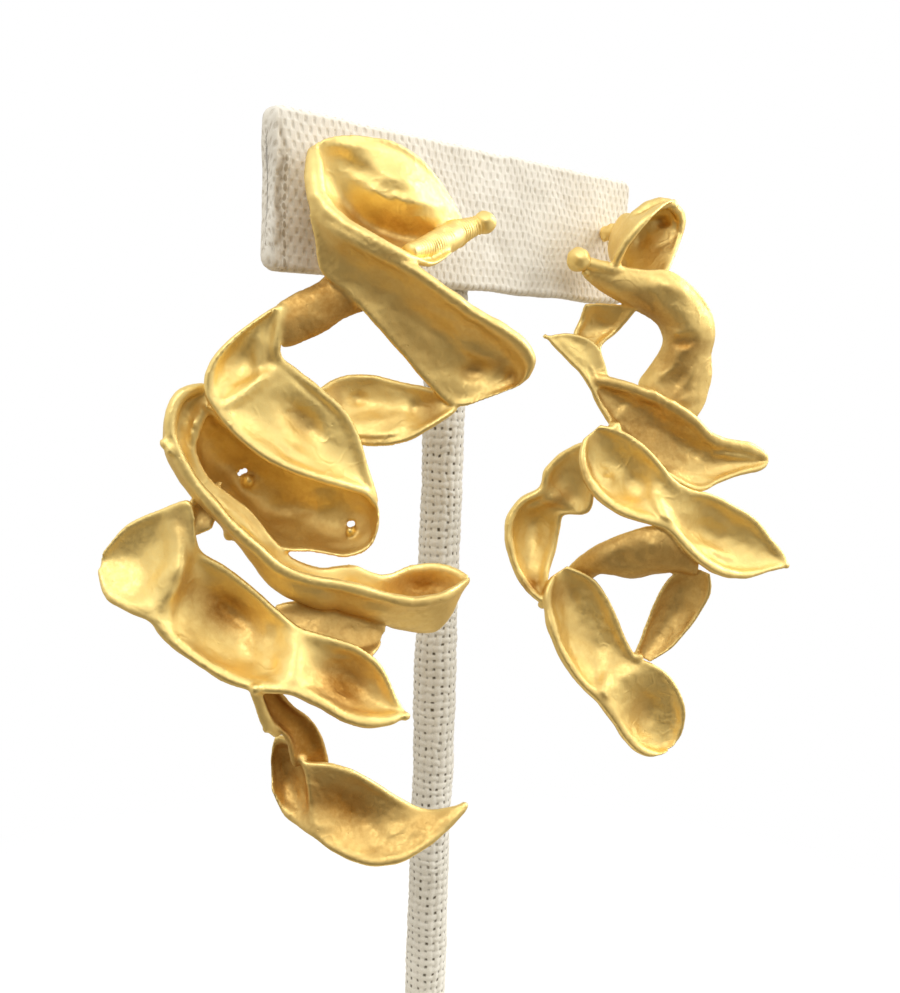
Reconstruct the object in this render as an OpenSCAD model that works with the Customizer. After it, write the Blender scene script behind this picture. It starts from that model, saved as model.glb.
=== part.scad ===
// Pair of pod earrings in cast golden metal, hung on a linen covered T-bar stand.
// Millimetres. The origin is on the table under the upright, X runs along the crossbar,
// Y runs away from the front and Z is up.

/* [Stand] */
// Height of the stand over all
stand_h = 165; // [155:1:200]
// Length of the crossbar
bar_len = 70; // [66:1:90]
// Height of the crossbar
bar_h = 20; // [18:0.5:26]
// Thickness of the crossbar with its linen
bar_t = 3; // [2.5:0.1:4]
// Diameter of the upright with its linen
upright_d = 6.5; // [6:0.1:8]
// Width of the foot, along the crossbar
foot_w = 72; // [66:1:100]
// Depth of the foot, from front to back
foot_d = 56; // [50:1:80]
// Thickness of the foot
foot_t = 5; // [4:0.5:8]

/* [Earrings] */
// Distance of each ear post from the middle of the crossbar
hang_x = 28; // [22:0.5:30]
// Depth of the ear posts under the top of the crossbar
hang_drop = 9; // [8:0.5:11]
// Thickness of the pod walls
wall_t = 1; // [0.8:0.05:1.2]
// Thickness of the rolled pod rims
rim_t = 1.5; // [1.2:0.1:1.8]
// Distance between the sections of a pod
section_gap = 1.8; // [1.2:0.1:3]
// Diameter of the ear posts
pin_d = 0.9; // [0.8:0.05:1]

/* [Hidden] */

linen = [0.87, 0.84, 0.78];
gold = [0.85, 0.68, 0.3];

// Clearance between pieces that are fitted into each other
fit = 0.1;
// Depth of the flat on the upright that the crossbar is fixed to
flat_cut = 0.35;
bar_back = -(upright_d / 2 - flat_cut);
bar_front = bar_back - bar_t;
// The foot reaches further to the front, under the weight of the earrings
foot_shift = -5;
foot_round = 6;
edge_round = 0.8;

// Ear posts: the hooks are the points where they enter the front of the crossbar
hook_z = stand_h - hang_drop;
left_hook = [-hang_x, bar_front, hook_z];
right_hook = [hang_x, bar_front, hook_z];
pin_reach = 0.45;
pin_tail = 5.5;
// Gap at a seat, where one piece is pushed or glued onto another
seat = 0.05;
pad_r = 1.5;
pad_t = 0.6;
// How far the solder of each pad reaches into the wall of its cup
left_reach = 1.3;
right_reach = 2.2;
nut_r = 2.4;
nut_t = 3;
nut_rim = 0.9;
nut_neck = 1.6;
nut_slope = 0.6;
nut_edge = 0.5;
// How far a cutting cylinder stands out of what it cuts
through = 1;
// Material left under the upright in the foot, and how far its top stays below the crossbar's
socket_floor = 1.5;
rod_drop = 2;

// The pods are drawn on an upright plane through each hook. This is its turn about Z,
// and the eye is the point, seen from the hook, from which both earrings are drawn.
plane_turn = 42.8;
left_eye = [-83, -116, -22.5];
right_eye = [-139, -116, -22.5];
across = [cos(plane_turn), -sin(plane_turn), 0];
away = [sin(plane_turn), cos(plane_turn), 0];

// Tables of the pods, one row for each section, in millimetres from the hook:
// [first edge across, up, depth, second edge across, up, depth, hollow]
// Depth is measured along the sight line. A positive hollow sinks away from the eye.
left_cup = [
    [-1.9, 2.6, -6, -1.3, 4.8, -5, 0.8],
    [-1.5, -0.2, -8, 1.5, 6.1, -3.5, 4],
    [0.9, -3.4, -9, 5, 6.3, -1, 6],
    [4.8, -5.6, -9.3, 9.4, 5.6, 1.5, 7.5],
    [8.8, -7.5, -9, 12.8, 3.6, 3.5, 7],
    [12, -9, -7.5, 15.3, 0.8, 5, 5.5],
    [14.6, -9.6, -5, 17.2, -2, 6, 3.5],
    [17, -8, -1, 18.4, -4, 6.5, 1.2],
];
left_long = [
    [-1.2, -3, -8, -1.7, 0.5, -7.5, 0.2],
    [-0.4, -6, -7.5, 1, -3.6, -9, 0.3],
    [0.3, -10.7, -6.5, 6.2, -6.6, -9.3, 0.6],
    [3.8, -13.6, -5.5, 12, -9.3, -8, 0.9],
    [7.4, -17.2, -4.5, 16.8, -12.3, -7, 1.2],
    [10.8, -20.8, -3, 20.6, -14.8, -6, 1.6],
    [14.2, -24.5, -1.5, 24.2, -16.7, -5, 2.2],
    [18, -27.5, -0.5, 27.2, -18.8, -4, 2.2],
    [22.6, -26.2, -1, 28.5, -21.3, -3, 1.4],
    [26, -24.8, -2, 27.8, -23.4, -2.5, 0.4],
];
left_hinge = [
    [3, -9, -4.4, 8.5, -15, -3.4, -0.6],
    [0, -12, -5.2, 4.2, -16.3, -4.2, -1],
    [-2.6, -13.4, -7, 0, -19, -6, -1],
    [-5.4, -15, -8.4, -4.4, -20.9, -8, -0.6],
];
left_back = [
    [0.2, -29.5, -1, 0.2, -25.8, -1, 0.5],
    [4, -32.5, 0, 3, -24.1, 1, 1.8],
    [8, -33.1, 0.5, 7, -23.7, 2, 2.6],
    [12, -32.3, 0, 11, -24.5, 1.6, 2.4],
    [15, -30.6, -0.8, 14.2, -25, 0.4, 1.6],
    [18.6, -28.2, -0.9, 17.8, -26, -0.7, 0.6],
];
left_face = [
    [-6.4, -15.9, -9.5, -4.2, -15, -8.4, 0.4],
    [-11.2, -19.6, -11, -4.3, -17.3, -8.6, 1.8],
    [-14.2, -23.3, -12, -4.7, -20.2, -8.6, 2.6],
    [-14.6, -26.8, -12, -4.4, -21.9, -8, 1.8],
    [-13.2, -29.3, -12, -2.8, -23.1, -7.4, 0.6],
    [-10.6, -32.4, -12, 0.2, -25.3, -6.8, 1.8],
    [-6.5, -35.4, -11.5, 3.3, -27.9, -6, 2.6],
    [-2.3, -37.2, -10.5, 5.3, -30.6, -5.2, 2.2],
    [2.6, -38.6, -8, 6.5, -34.2, -4.6, 1.2],
    [6.2, -39.6, -5.5, 7.5, -37.6, -4, 0.4],
    [7.9, -41, -4, 8.4, -40.2, -3.6, 0.2],
];
left_nest = [
    [7.8, -39.6, -4.6, 8.7, -43, -4.4, 0.4],
    [5.4, -37.6, -2.8, 7.7, -46.4, -4.6, 2.2],
    [1.6, -36.6, -2, 4.6, -48, -5, 3.6],
    [-2, -35.6, -3, 0.2, -47.5, -5.5, 4.6],
    [-6, -34.2, -4, -5, -47, -6, 5.2],
    [-9, -32.4, -5, -10.2, -42, -7, 5.2],
    [-11.5, -30.5, -7, -14.3, -39.2, -8.6, 4],
    [-13.2, -28.9, -9, -16.6, -34.8, -9.6, 2.2],
    [-14.2, -28.2, -10, -16.2, -30.8, -10, 0.6],
];
left_sash = [
    [-15, -25.2, -9.5, -13.4, -27.4, -9, 0.4],
    [-18.2, -26.7, -11.8, -14, -29.2, -9, 1.4],
    [-19.6, -29.8, -12.8, -15, -31.6, -9, 2],
    [-19.2, -33.2, -13, -15.7, -34.6, -9, 2],
    [-17.1, -37.4, -13, -14.2, -38, -8.4, 2.4],
    [-14.1, -41.3, -12.8, -11.4, -40.2, -7.4, 2.4],
    [-11, -44.8, -12.2, -8.2, -42.6, -6.6, 2.8],
    [-7.6, -47.6, -11.4, -5.4, -46, -5.8, 3.2],
    [-4.6, -50, -10.6, -2.6, -48.6, -4.6, 3.8],
    [-0.8, -51.3, -9.8, 1.2, -49.8, -3.4, 4.4],
    [4.2, -52.2, -9, 5.2, -49.2, -2.4, 4.8],
    [9.2, -53.4, -7.5, 9.2, -50.4, -1, 5.4],
    [13.6, -54.2, -6, 12.8, -49, 2.5, 7],
    [17.6, -53.2, -4.5, 16.6, -48.5, 4.8, 7.5],
    [20, -51.6, -1.5, 19.2, -49.3, 4.4, 4.5],
    [21, -50.7, 1.2, 20.6, -50.2, 3.4, 0.6],
];
left_scoop = [
    [-28.6, -51.6, -12, -28, -48.4, -11.5, 0.4],
    [-27.4, -54.8, -13, -24.6, -44.5, -11, 1.8],
    [-24.4, -56.5, -13.5, -20, -42.2, -11, 2.4],
    [-21.8, -57.6, -13.8, -16.3, -41.1, -11.5, 1.8],
    [-20.6, -59.2, -14, -15.6, -45.6, -11, 0.6],
    [-18.4, -61.3, -14, -14.8, -47.8, -9.5, 1.8],
    [-14.6, -63.9, -13.8, -11.2, -49.9, -8.5, 3.4],
    [-10.6, -66, -13.4, -7.6, -52.7, -8, 3.8],
    [-6.6, -66.9, -13, -4.5, -55.4, -8, 2.2],
    [-2.6, -67.2, -12.5, -1.5, -57.6, -8.4, 0.6],
    [1, -68.7, -12, 2.6, -58.8, -8, 1.8],
    [4.6, -70.7, -11.4, 6.5, -60.1, -7.2, 2.6],
    [8.2, -71.3, -10.4, 9.5, -62.7, -6.8, 2.2],
    [11, -70.8, -9.2, 11.4, -66.6, -7, 1],
    [12.9, -69.8, -8, 12.9, -69.1, -7.6, 0.2],
];
left_tab = [
    [-15.2, -39.4, -9.4, -12.2, -38.2, -6.4, 0.2],
    [-17, -42.4, -10.4, -12.6, -41.2, -8, 0.4],
    [-17, -46.4, -10.6, -13.3, -44.7, -9.4, 0.2],
];
left_stay = [
    [-4.6, -60.6, -8.4, -5, -54.6, -6, 0.3],
    [0.6, -61.8, -8, 0.6, -53.6, -5, 0.8],
    [5, -62, -7, 5.6, -54.6, -4, 1],
    [8.2, -61.4, -6, 9.2, -56.3, -3, 0.6],
    [9, -59.8, -4.4, 10, -57.4, -3.4, 0.2],
];
left_strap = [
    [-8.5, -66, -13.2, -4.6, -65.8, -11.6, 0.5],
    [-7, -68.5, -11.6, -2.4, -68.4, -8.8, 1.8],
    [-5.6, -70.9, -10.5, 0, -70.2, -7, 2.4],
    [-3.6, -72.8, -9.5, 1.4, -72.2, -6, 2.2],
    [-2.8, -75, -8.5, 2.2, -74.3, -5.4, 1.6],
    [-2.4, -77.2, -7.5, 2.8, -76.6, -5.2, 0.7],
];
left_thorn = [
    [-8.8, -66, -13, -6.6, -65.8, -12.8, -0.3],
    [-7.9, -69, -12, -5.7, -68.6, -11.6, -0.7],
    [-6.9, -71.6, -11, -4.6, -70.8, -10.4, -0.7],
    [-5, -73, -9.8, -3.7, -72.2, -9.4, -0.3],
];
left_foot = [
    [-5.1, -80.6, -6, -5.3, -76, -6, 0.6],
    [-3.4, -83.8, -6, -4.7, -72.8, -6, 3],
    [-1.3, -85.4, -6.8, -2.3, -73.4, -6.8, 3],
    [0.8, -87, -8.4, -0.6, -76, -7.4, 0.6],
    [3, -88.8, -9, 2.8, -76.3, -7, 1.2],
    [6, -90.3, -9, 6, -77.2, -6.4, 2.2],
    [9.4, -91, -8.6, 9, -78.8, -5.6, 2.8],
    [13, -90.2, -8, 12, -80.7, -4.8, 2.4],
    [16.2, -88.2, -7, 15, -82.2, -4.2, 1.4],
    [19, -85.6, -5.6, 18, -82.4, -3.8, 0.6],
    [20.9, -83.3, -4.6, 20.2, -81.9, -3.8, 0.3],
    [21.6, -82, -4, 21.4, -81.5, -3.8, 0.1],
];
left_pods_tables = [
    left_cup, left_long, left_hinge, left_back, left_face, left_nest,
    left_sash, left_tab, left_scoop, left_stay, left_strap, left_thorn, left_foot,
];

right_cup = [
    [11, -6.3, -6.4, 1.5, -5.9, -9.6, 4],
    [12.3, -2.6, -3.5, 3, -2.4, -11, 7.5],
    [13, 0, -2, 5, 0.6, -11.5, 8],
    [13.4, 2, -1.8, 7.1, 3.1, -11, 6.6],
    [13, 3.9, -2.4, 9.2, 4.9, -8.5, 3.6],
    [11.9, 5.1, -4, 10.6, 5.5, -6, 0.6],
];
right_long = [
    [-2.8, -7, -9, -1.6, -5.2, -9.8, -0.3],
    [0.4, -9.3, -7.5, 2.5, -5.2, -9.5, -1],
    [4, -11.2, -6, 7, -5.5, -8.5, -1.6],
    [7.4, -12.8, -5, 11.5, -5.6, -7.5, -2.1],
    [9.8, -14.4, -4.6, 15.3, -8, -7, -2.4],
    [10.9, -16.6, -4.4, 18.1, -11, -6, -2.4],
    [10.4, -18.8, -4.2, 19.5, -15, -5, -2.4],
    [8.8, -21.4, -4.2, 19.1, -18.6, -4, -2.1],
    [7.2, -24.2, -4.4, 19.3, -22.5, -3.6, -1.9],
    [8.6, -27.4, -5, 18.6, -26.4, -3.8, -1.4],
    [12, -30, -5.4, 17.4, -29.4, -4.6, -0.5],
];
right_stay = [
    [-2.2, -11.4, -6.4, 6.6, -11.8, -6, 0.7],
    [-2.9, -14, -5.2, 3.6, -15.6, -4.4, 1.1],
    [-3.8, -16.6, -6.4, 1, -18.2, -5.6, 1],
    [-2.2, -19.6, -8.2, 1.4, -20.6, -7.4, 0.7],
    [0.2, -24, -8.8, 2.4, -23.6, -8, 0.3],
];
right_beak = [
    [-8.5, -17.1, -10, -8.3, -16.7, -9.8, 0.2],
    [-6.6, -18.9, -9.6, -5, -16.2, -9, 0.8],
    [-4.5, -20.8, -9.4, -2, -16.7, -8.4, 1.4],
    [-2.6, -22.6, -9.2, 0.2, -18.1, -8, 1.4],
    [-1.2, -24.4, -9, 1.4, -20.4, -8, 1.1],
    [-0.1, -26.4, -8.9, 2.3, -23, -8.3, 0.5],
];
right_shelf = [
    [-0.6, -24.6, -8.4, 0, -22.5, -8.2, 0.3],
    [0.4, -27.4, -8.6, 3, -23.2, -8.2, 1.1],
    [2.4, -30.4, -8.8, 6.5, -24, -7.8, 1.8],
    [5, -33.6, -9, 10, -25.1, -7.6, 2.4],
    [9, -37, -9, 13.6, -26.8, -7.2, 2.7],
    [13.6, -40, -8.6, 17, -29, -6.6, 2.5],
    [18.2, -41.8, -8, 20, -31.8, -5.8, 2],
    [21.6, -40.2, -7, 23, -32.7, -5, 1.5],
    [25, -38.2, -6, 26.3, -32.9, -4.2, 1.1],
    [28.3, -37, -5, 28.8, -34.2, -3.6, 0.6],
    [30.1, -36, -4, 30.2, -35.4, -3.6, 0.2],
];
right_face = [
    [-1.6, -33.8, -11, 1.4, -31.1, -10, 0.4],
    [-2, -37, -12, 4, -31.6, -10, 1.8],
    [-0.8, -40.8, -12.6, 7, -32.9, -10.2, 2.8],
    [2, -44.1, -13, 9.6, -34.9, -10.4, 3.1],
    [6, -46.4, -13, 11.8, -37.1, -10.4, 2.3],
    [10.4, -47.6, -12.8, 14.1, -39.8, -10.2, 0.8],
    [13.4, -48.6, -12.4, 17, -41.3, -9.6, 0.6],
    [16.4, -51.6, -12, 20.6, -42, -8.8, 1.9],
    [19.6, -54.3, -11.4, 24.5, -43.8, -8, 2.7],
    [23.2, -56, -10.4, 28, -45.8, -7, 2.5],
    [27.2, -56.2, -9, 30.8, -48.9, -6.2, 1.4],
    [30.8, -55, -7.6, 33.1, -51.6, -5.8, 0.5],
    [33.2, -54.4, -6.6, 33.9, -53.2, -6, 0.1],
];
right_curl = [
    [-1.2, -33.8, -10, 1.2, -37.6, -9.4, 0.4],
    [-4.9, -35.8, -8.8, 1, -41.8, -8.6, 1.1],
    [-7.5, -38.6, -8.6, 0.6, -45, -8.2, 1.4],
    [-8.4, -41.8, -8.6, -0.8, -46.2, -7.8, 0.7],
    [-11.6, -44, -9.4, -3.9, -46.4, -7, 1.5],
    [-13.6, -47.2, -10, -4.5, -48.6, -6.6, 2.7],
    [-13.6, -51, -10.6, -5, -52, -6.8, 2.8],
    [-12.3, -55.4, -11, -5.9, -55.5, -7.6, 2.1],
    [-10, -59.2, -11.4, -6.2, -58.6, -10, 1],
    [-7, -62, -12, -5.8, -61.2, -11.2, 0.3],
];
right_span = [
    [-2.6, -58.4, -8, -5, -56, -8.6, -0.5],
    [0.2, -57.6, -7.4, -1.4, -53.3, -8.8, -1.2],
    [3.2, -56, -7, 2.6, -50.8, -9.4, -1.8],
    [8, -56.6, -6.6, 7, -48.9, -10.8, -2.2],
    [12, -55.8, -6.8, 12, -47.6, -11.6, -2],
    [16, -55.4, -7.6, 16, -49.4, -10.8, -1.4],
    [19, -56, -8.6, 19, -52.8, -9.4, -0.5],
];
right_leaf = [
    [16.6, -54.4, -9, 21.2, -55.6, -9.4, 0.5],
    [13.8, -57, -8.4, 21.4, -58.8, -8.6, 1.7],
    [12, -60.6, -8, 20, -62.2, -8, 2.3],
    [10.8, -64.2, -7.8, 18, -65.4, -7.8, 2.1],
    [9.8, -67.6, -8, 15.4, -68.6, -7.8, 1.4],
    [8.9, -70, -8.2, 12, -71.2, -8, 0.5],
];
right_foot = [
    [-6, -57.2, -10.4, -3, -55, -9, 0.4],
    [-6.9, -60, -11.6, 1.4, -57, -8.8, 1.8],
    [-6.5, -63.5, -12.4, 4, -60.1, -8.8, 2.7],
    [-5.3, -67.3, -13, 6, -64, -8.8, 3],
    [-3.3, -71.3, -13.2, 7.8, -67.8, -8.8, 2.6],
    [-0.5, -75.2, -13, 9.6, -70.4, -8.8, 1.6],
    [3, -78.4, -12.6, 11.7, -71.2, -8.8, 0.6],
    [5.4, -81.3, -12.2, 14.6, -72.8, -8.8, 1.4],
    [7.8, -84.8, -11.8, 17.1, -76, -8.6, 2.5],
    [10.2, -87.1, -11.2, 18.4, -80, -8.4, 2.5],
    [13, -87.9, -10.4, 17.7, -84, -8.2, 1.3],
    [15.2, -87.2, -9.6, 16.4, -86, -8.8, 0.4],
];
right_pods_tables = [
    right_cup, right_long, right_stay, right_beak, right_shelf, right_face,
    right_curl, right_span, right_leaf, right_foot,
];

// Cast stems that end in a ball, and the small nubs left on the castings:
// [across, up, depth, radius], each joined to the one before it
left_stem = [
    [11.6, -8.2, -5.5, 1.5],
    [14, -7.4, -1.9, 1.4],
    [16.2, -6.2, 2, 1.2],
    [18.2, -5.2, 5, 1],
    [19.6, -4.6, 6, 0.9],
];
right_stem = [
    [3, -5.6, -9.2, 1],
    [0.6, -5.4, -9.6, 0.9],
    [-1.6, -4.9, -10.2, 0.8],
];
left_ball = [21.2, -3.9, 6.6, 1.5];
right_ball = [-3.5, -4.3, -10.6, 1.8];
ribs = 2;
rib_rise = 0.2;
ball_sides = 12;
// Height of a bead, height of its waist and radius of its top, for each millimetre of its radius
bead_height = 1.9;
bead_waist = 0.9;
bead_top = 0.45;
left_nubs = [
    [-19.7, -33.6, -12.6, 0.7], [-19, -34.5, -12.8, 0.7], [-11.5, -46, -9.7, 0.9],
    [-8.2, -38, -1.6, 0.7], [12.9, -69.5, -8, 0.6], [-7.4, -66.4, -13.4, 0.8],
    [-6.4, -72.4, -10.6, 0.5], [21.3, -81.8, -3.9, 0.55], [6.6, -58, -3.6, 0.6],
];
right_nubs = [
    [-2.3, -6.4, -9.9, 0.6], [0.6, -0.8, -1.2, 0.6], [1.6, 1, -1.6, 0.7],
    [33.8, -53.7, -6.2, 0.6], [30.1, -35.7, -3.9, 0.55], [-7, -61.8, -10.7, 0.7],
    [9.6, -70.4, -8.6, 0.95], [-8.4, -16.9, -9.9, 0.4], [3.8, -31.6, -9.5, 1.1],
];

// Places along a section, from the first edge to the second
stops = [0, 0.18, 0.4, 0.6, 0.82, 1];
// Most that a section bows, as a share of its width. Narrower sections are flatter.
most_bow = 0.8;
full_width = 7;
// Thickness of the first and the last section, as a share of the others'
end_taper = 0.6;

function unit(v) = v / norm(v);

// A point of the drawing plane, moved along its sight line by the depth
function placed(hook, eye, a, u, d) =
    let (p = a * across + [0, 0, u] - eye)
    hook + eye + p * (1 + d / (p * away));

// A smooth curve through the rows, at the fraction f between the second and the third
function curve(p0, p1, p2, p3, f) =
    p1 + f / 2 * (p2 - p0) + f * f / 2 * (2 * p0 - 5 * p1 + 4 * p2 - p3)
    + f * f * f / 2 * (3 * p1 - p0 - 3 * p2 + p3);

function middle(s) = (s[0] + s[1]) / 2;

// Sections of a pod, each as [first edge, second edge, hollow], about section_gap apart
function sections(rows, hook, eye) =
    let (
        last = len(rows) - 1,
        s = [for (r = rows)
            [placed(hook, eye, r[0], r[1], r[2]), placed(hook, eye, r[3], r[4], r[5]), r[6]]]
    )
    [
        for (i = [0:last - 1])
            let (
                n = max(1, round(norm(middle(s[i + 1]) - middle(s[i])) / section_gap)),
                before = s[max(i - 1, 0)],
                after = s[min(i + 2, last)]
            )
            for (k = [0:n - 1])
                [for (c = [0:2]) curve(before[c], s[i][c], s[i + 1][c], after[c], k / n)],
        s[last]
    ];

// The outline of one section: the hollow side, one rim, the round side, the other rim
function outline(s, ahead, taper) =
    let (
        span = s[1] - s[0],
        e = unit(span),
        inset = min(rim_t / 2, norm(span) / 3),
        w = span - 2 * inset * e,
        wide = norm(w),
        start = s[0] + inset * e,
        n = unit(cross(w, ahead)),
        most = wide * min(most_bow, wide / full_width),
        bow = max(-most, min(most, s[2])),
        side = [for (f = stops)
            let (
                slope = bow * 3.14 * cos(180 * f),
                half = taper * (f == 0 || f == 1 ? rim_t : wall_t) / 2,
                face = unit(wide * n - slope * e)
            )
            [start + f * w + bow * sin(180 * f) * n, half * face]]
    )
    concat(
        [for (p = side) p[0] - p[1]],
        [s[1] - e * (inset - rim_t * taper / 2)],
        [for (i = [len(side) - 1:-1:0]) side[i][0] + side[i][1]],
        [s[0] + e * (inset - rim_t * taper / 2)]
    );

// One pod, swept through its sections
module pod(rows, hook, eye) {
    s = sections(rows, hook, eye);
    last = len(s) - 1;
    rings = [for (i = [0:last])
        outline(
            s[i],
            middle(s[min(i + 1, last)]) - middle(s[max(i - 1, 0)]),
            i == 0 || i == last ? end_taper : 1
        )];
    n = len(rings[0]);
    polyhedron(
        points = [for (r = rings) for (p = r) p],
        faces = concat(
            [[for (k = [n - 1:-1:0]) k]],
            [[for (k = [0:n - 1]) last * n + k]],
            [for (i = [0:last - 1]) for (k = [0:n - 1])
                [i * n + k, i * n + (k + 1) % n, (i + 1) * n + (k + 1) % n]],
            [for (i = [0:last - 1]) for (k = [0:n - 1])
                [i * n + k, (i + 1) * n + (k + 1) % n, (i + 1) * n + k]]
        )
    );
}

// A small bead of cast metal, with a round waist and a narrower top and bottom
module bead(p, r, sides = 8) {
    translate(p) hull() {
        cylinder(h = bead_waist * r, r = r, center = true, $fn = sides);
        cylinder(h = bead_height * r, r = bead_top * r, center = true, $fn = sides);
    }
}

// A stem, from bead to bead, with cast rings around it
module stem(rows, hook, eye) {
    for (i = [0:len(rows) - 2]) {
        a = placed(hook, eye, rows[i][0], rows[i][1], rows[i][2]);
        b = placed(hook, eye, rows[i + 1][0], rows[i + 1][1], rows[i + 1][2]);
        hull() {
            bead(a, rows[i][3]);
            bead(b, rows[i + 1][3]);
        }
        for (k = [1:ribs - 1])
            bead(a + (b - a) * k / ribs, (rows[i][3] + rows[i + 1][3]) / 2 + rib_rise);
    }
}

// The flat pad of solder on the back of a cup that carries the ear post
module pad(hook, reach) {
    translate(hook - [0, pin_reach, 0]) rotate([90, 0, 0]) hull() {
        cylinder(h = pad_t, r = pad_r, $fn = 16);
        cylinder(h = reach, r = pad_r / 2, $fn = 16);
    }
}

module nubs(rows, hook, eye) {
    for (r = rows) bead(placed(hook, eye, r[0], r[1], r[2]), r[3]);
}

module earring(tables, stem_rows, ball, nub_rows, hook, eye, reach) {
    color(gold) {
        for (rows = tables) pod(rows, hook, eye);
        stem(stem_rows, hook, eye);
        bead(placed(hook, eye, ball[0], ball[1], ball[2]), ball[3], ball_sides);
        nubs(nub_rows, hook, eye);
        pad(hook, reach);
    }
}

module left_pods() {
    earring(left_pods_tables, left_stem, left_ball, left_nubs, left_hook, left_eye, left_reach);
}

module right_pods() {
    earring(
        right_pods_tables, right_stem, right_ball, right_nubs, right_hook, right_eye, right_reach
    );
}

// A plain ear post, from the pad through the crossbar and the nut
module ear_post(hook) {
    color(gold)
        translate(hook - [0, pin_reach - seat, 0]) rotate([-90, 0, 0])
            cylinder(h = pin_reach + bar_t + pin_tail, d = pin_d, $fn = 24);
}

module left_ear_post() { ear_post(left_hook); }
module right_ear_post() { ear_post(right_hook); }

// A friction nut behind the crossbar, turned, with a bore for the post
module ear_nut(hook) {
    color(gold)
        translate(hook + [0, bar_t + seat, 0]) rotate([-90, 0, 0])
            rotate_extrude($fn = 48)
                polygon([
                    [pin_d / 2 + seat, 0], [nut_r, 0], [nut_r, nut_rim],
                    [nut_neck, nut_rim + nut_slope], [nut_neck, nut_t - nut_edge],
                    [nut_neck - nut_edge, nut_t], [pin_d / 2 + seat, nut_t],
                ]);
}

module left_ear_nut() { ear_nut(left_hook); }
module right_ear_nut() { ear_nut(right_hook); }

// A flat board with rounded corners
module board(w, h, t, r) {
    linear_extrude(t) {
        square([w - 2 * r, h], center = true);
        square([w, h - 2 * r], center = true);
        for (x = [-1, 1])
            for (y = [-1, 1])
                translate([x * (w / 2 - r), y * (h / 2 - r)]) circle(r, $fn = 32);
    }
}

// The foot, with a socket for the upright
module stand_foot() {
    color(linen) difference() {
        translate([0, foot_shift, 0]) board(foot_w, foot_d, foot_t, foot_round);
        translate([0, 0, socket_floor])
            cylinder(h = foot_t, d = upright_d + 2 * fit, $fn = 64);
    }
}

// The upright, a round rod with a flat at the top that the crossbar is fixed to
module stand_post() {
    rod_h = stand_h - rod_drop - socket_floor - seat;
    color(linen) difference() {
        translate([0, 0, socket_floor + seat]) cylinder(h = rod_h, d = upright_d, $fn = 64);
        translate([-upright_d, bar_back + seat - upright_d, stand_h - bar_h - fit])
            cube([2 * upright_d, upright_d, bar_h + upright_d]);
    }
}

// The crossbar, with a bore for each ear post
module stand_crossbar() {
    color(linen) difference() {
        translate([0, bar_back, stand_h - bar_h / 2]) rotate([90, 0, 0])
            board(bar_len, bar_h, bar_t, edge_round);
        for (hook = [left_hook, right_hook])
            translate(hook - [0, through, 0]) rotate([-90, 0, 0])
                cylinder(h = bar_t + 2 * through, d = pin_d + 2 * fit, $fn = 24);
    }
}

stand_foot();
stand_post();
stand_crossbar();
left_pods();
left_ear_post();
left_ear_nut();
right_pods();
right_ear_post();
right_ear_nut();
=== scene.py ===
"""Looks of a pair of cast pod earrings that hang on a linen covered T-bar stand.

The pods are swept finely through tables like those of the CAD part, dented where the
castings are dented, fused into one skin for each earring and given a cast surface. The
crossbar, the upright and the foot of the stand are dressed in woven cloth. Lengths are in
millimetres until a mesh is finished, and in metres after that.
"""

import math
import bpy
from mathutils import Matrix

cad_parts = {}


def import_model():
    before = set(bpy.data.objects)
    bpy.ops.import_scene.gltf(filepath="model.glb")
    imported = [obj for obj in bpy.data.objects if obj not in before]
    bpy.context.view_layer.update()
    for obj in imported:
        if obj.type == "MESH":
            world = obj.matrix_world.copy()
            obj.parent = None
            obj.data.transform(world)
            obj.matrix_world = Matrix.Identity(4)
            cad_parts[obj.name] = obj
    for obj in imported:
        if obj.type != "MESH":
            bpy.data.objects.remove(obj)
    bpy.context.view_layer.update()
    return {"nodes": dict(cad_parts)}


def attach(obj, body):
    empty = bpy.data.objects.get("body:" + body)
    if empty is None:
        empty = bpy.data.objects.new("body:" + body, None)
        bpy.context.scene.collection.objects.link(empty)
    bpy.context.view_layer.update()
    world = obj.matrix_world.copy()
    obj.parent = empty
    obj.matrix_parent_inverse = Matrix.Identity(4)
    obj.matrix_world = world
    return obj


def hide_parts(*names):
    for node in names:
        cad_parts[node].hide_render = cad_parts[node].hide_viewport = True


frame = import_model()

from types import SimpleNamespace

import bmesh
import bpy
import numpy as np
from mathutils import Matrix, Vector
from mathutils.kdtree import KDTree

METRE = 0.001

# Sizes repeated from the CAD part
STAND_H = 165
BAR_LEN, BAR_H, BAR_T = 70, 20, 3
UPRIGHT_R = 3.25
BAR_BACK = -2.9
BAR_ROUND = 1.6
BAR_FRONT = BAR_BACK - BAR_T
FOOT_W, FOOT_D, FOOT_T = 72, 56, 5
FOOT_SHIFT, FOOT_ROUND = -5, 6
SOCKET_FLOOR = 1.5
WALL_T = 1.0
HOOK_Z = 156

# The eye from which the pods are drawn is the camera. Each earring's drawing plane stands upright
# through its hook and faces the eye. The camera's length of focus is in pixels of its picture
EYE = np.array([-111, -121.9, 133.5])
EYE_TURN, EYE_PITCH, EYE_ROLL = (math.radians(turn) for turn in (42.8, 6.8, 1.9))
FOCUS, PICTURE_H, SENSOR = 1080, 993, 36
ACROSS = np.array([math.cos(EYE_TURN), -math.sin(EYE_TURN), 0])
UP = np.array([0, 0, 1])
AWAY = np.array([math.sin(EYE_TURN), math.cos(EYE_TURN), 0])

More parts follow.
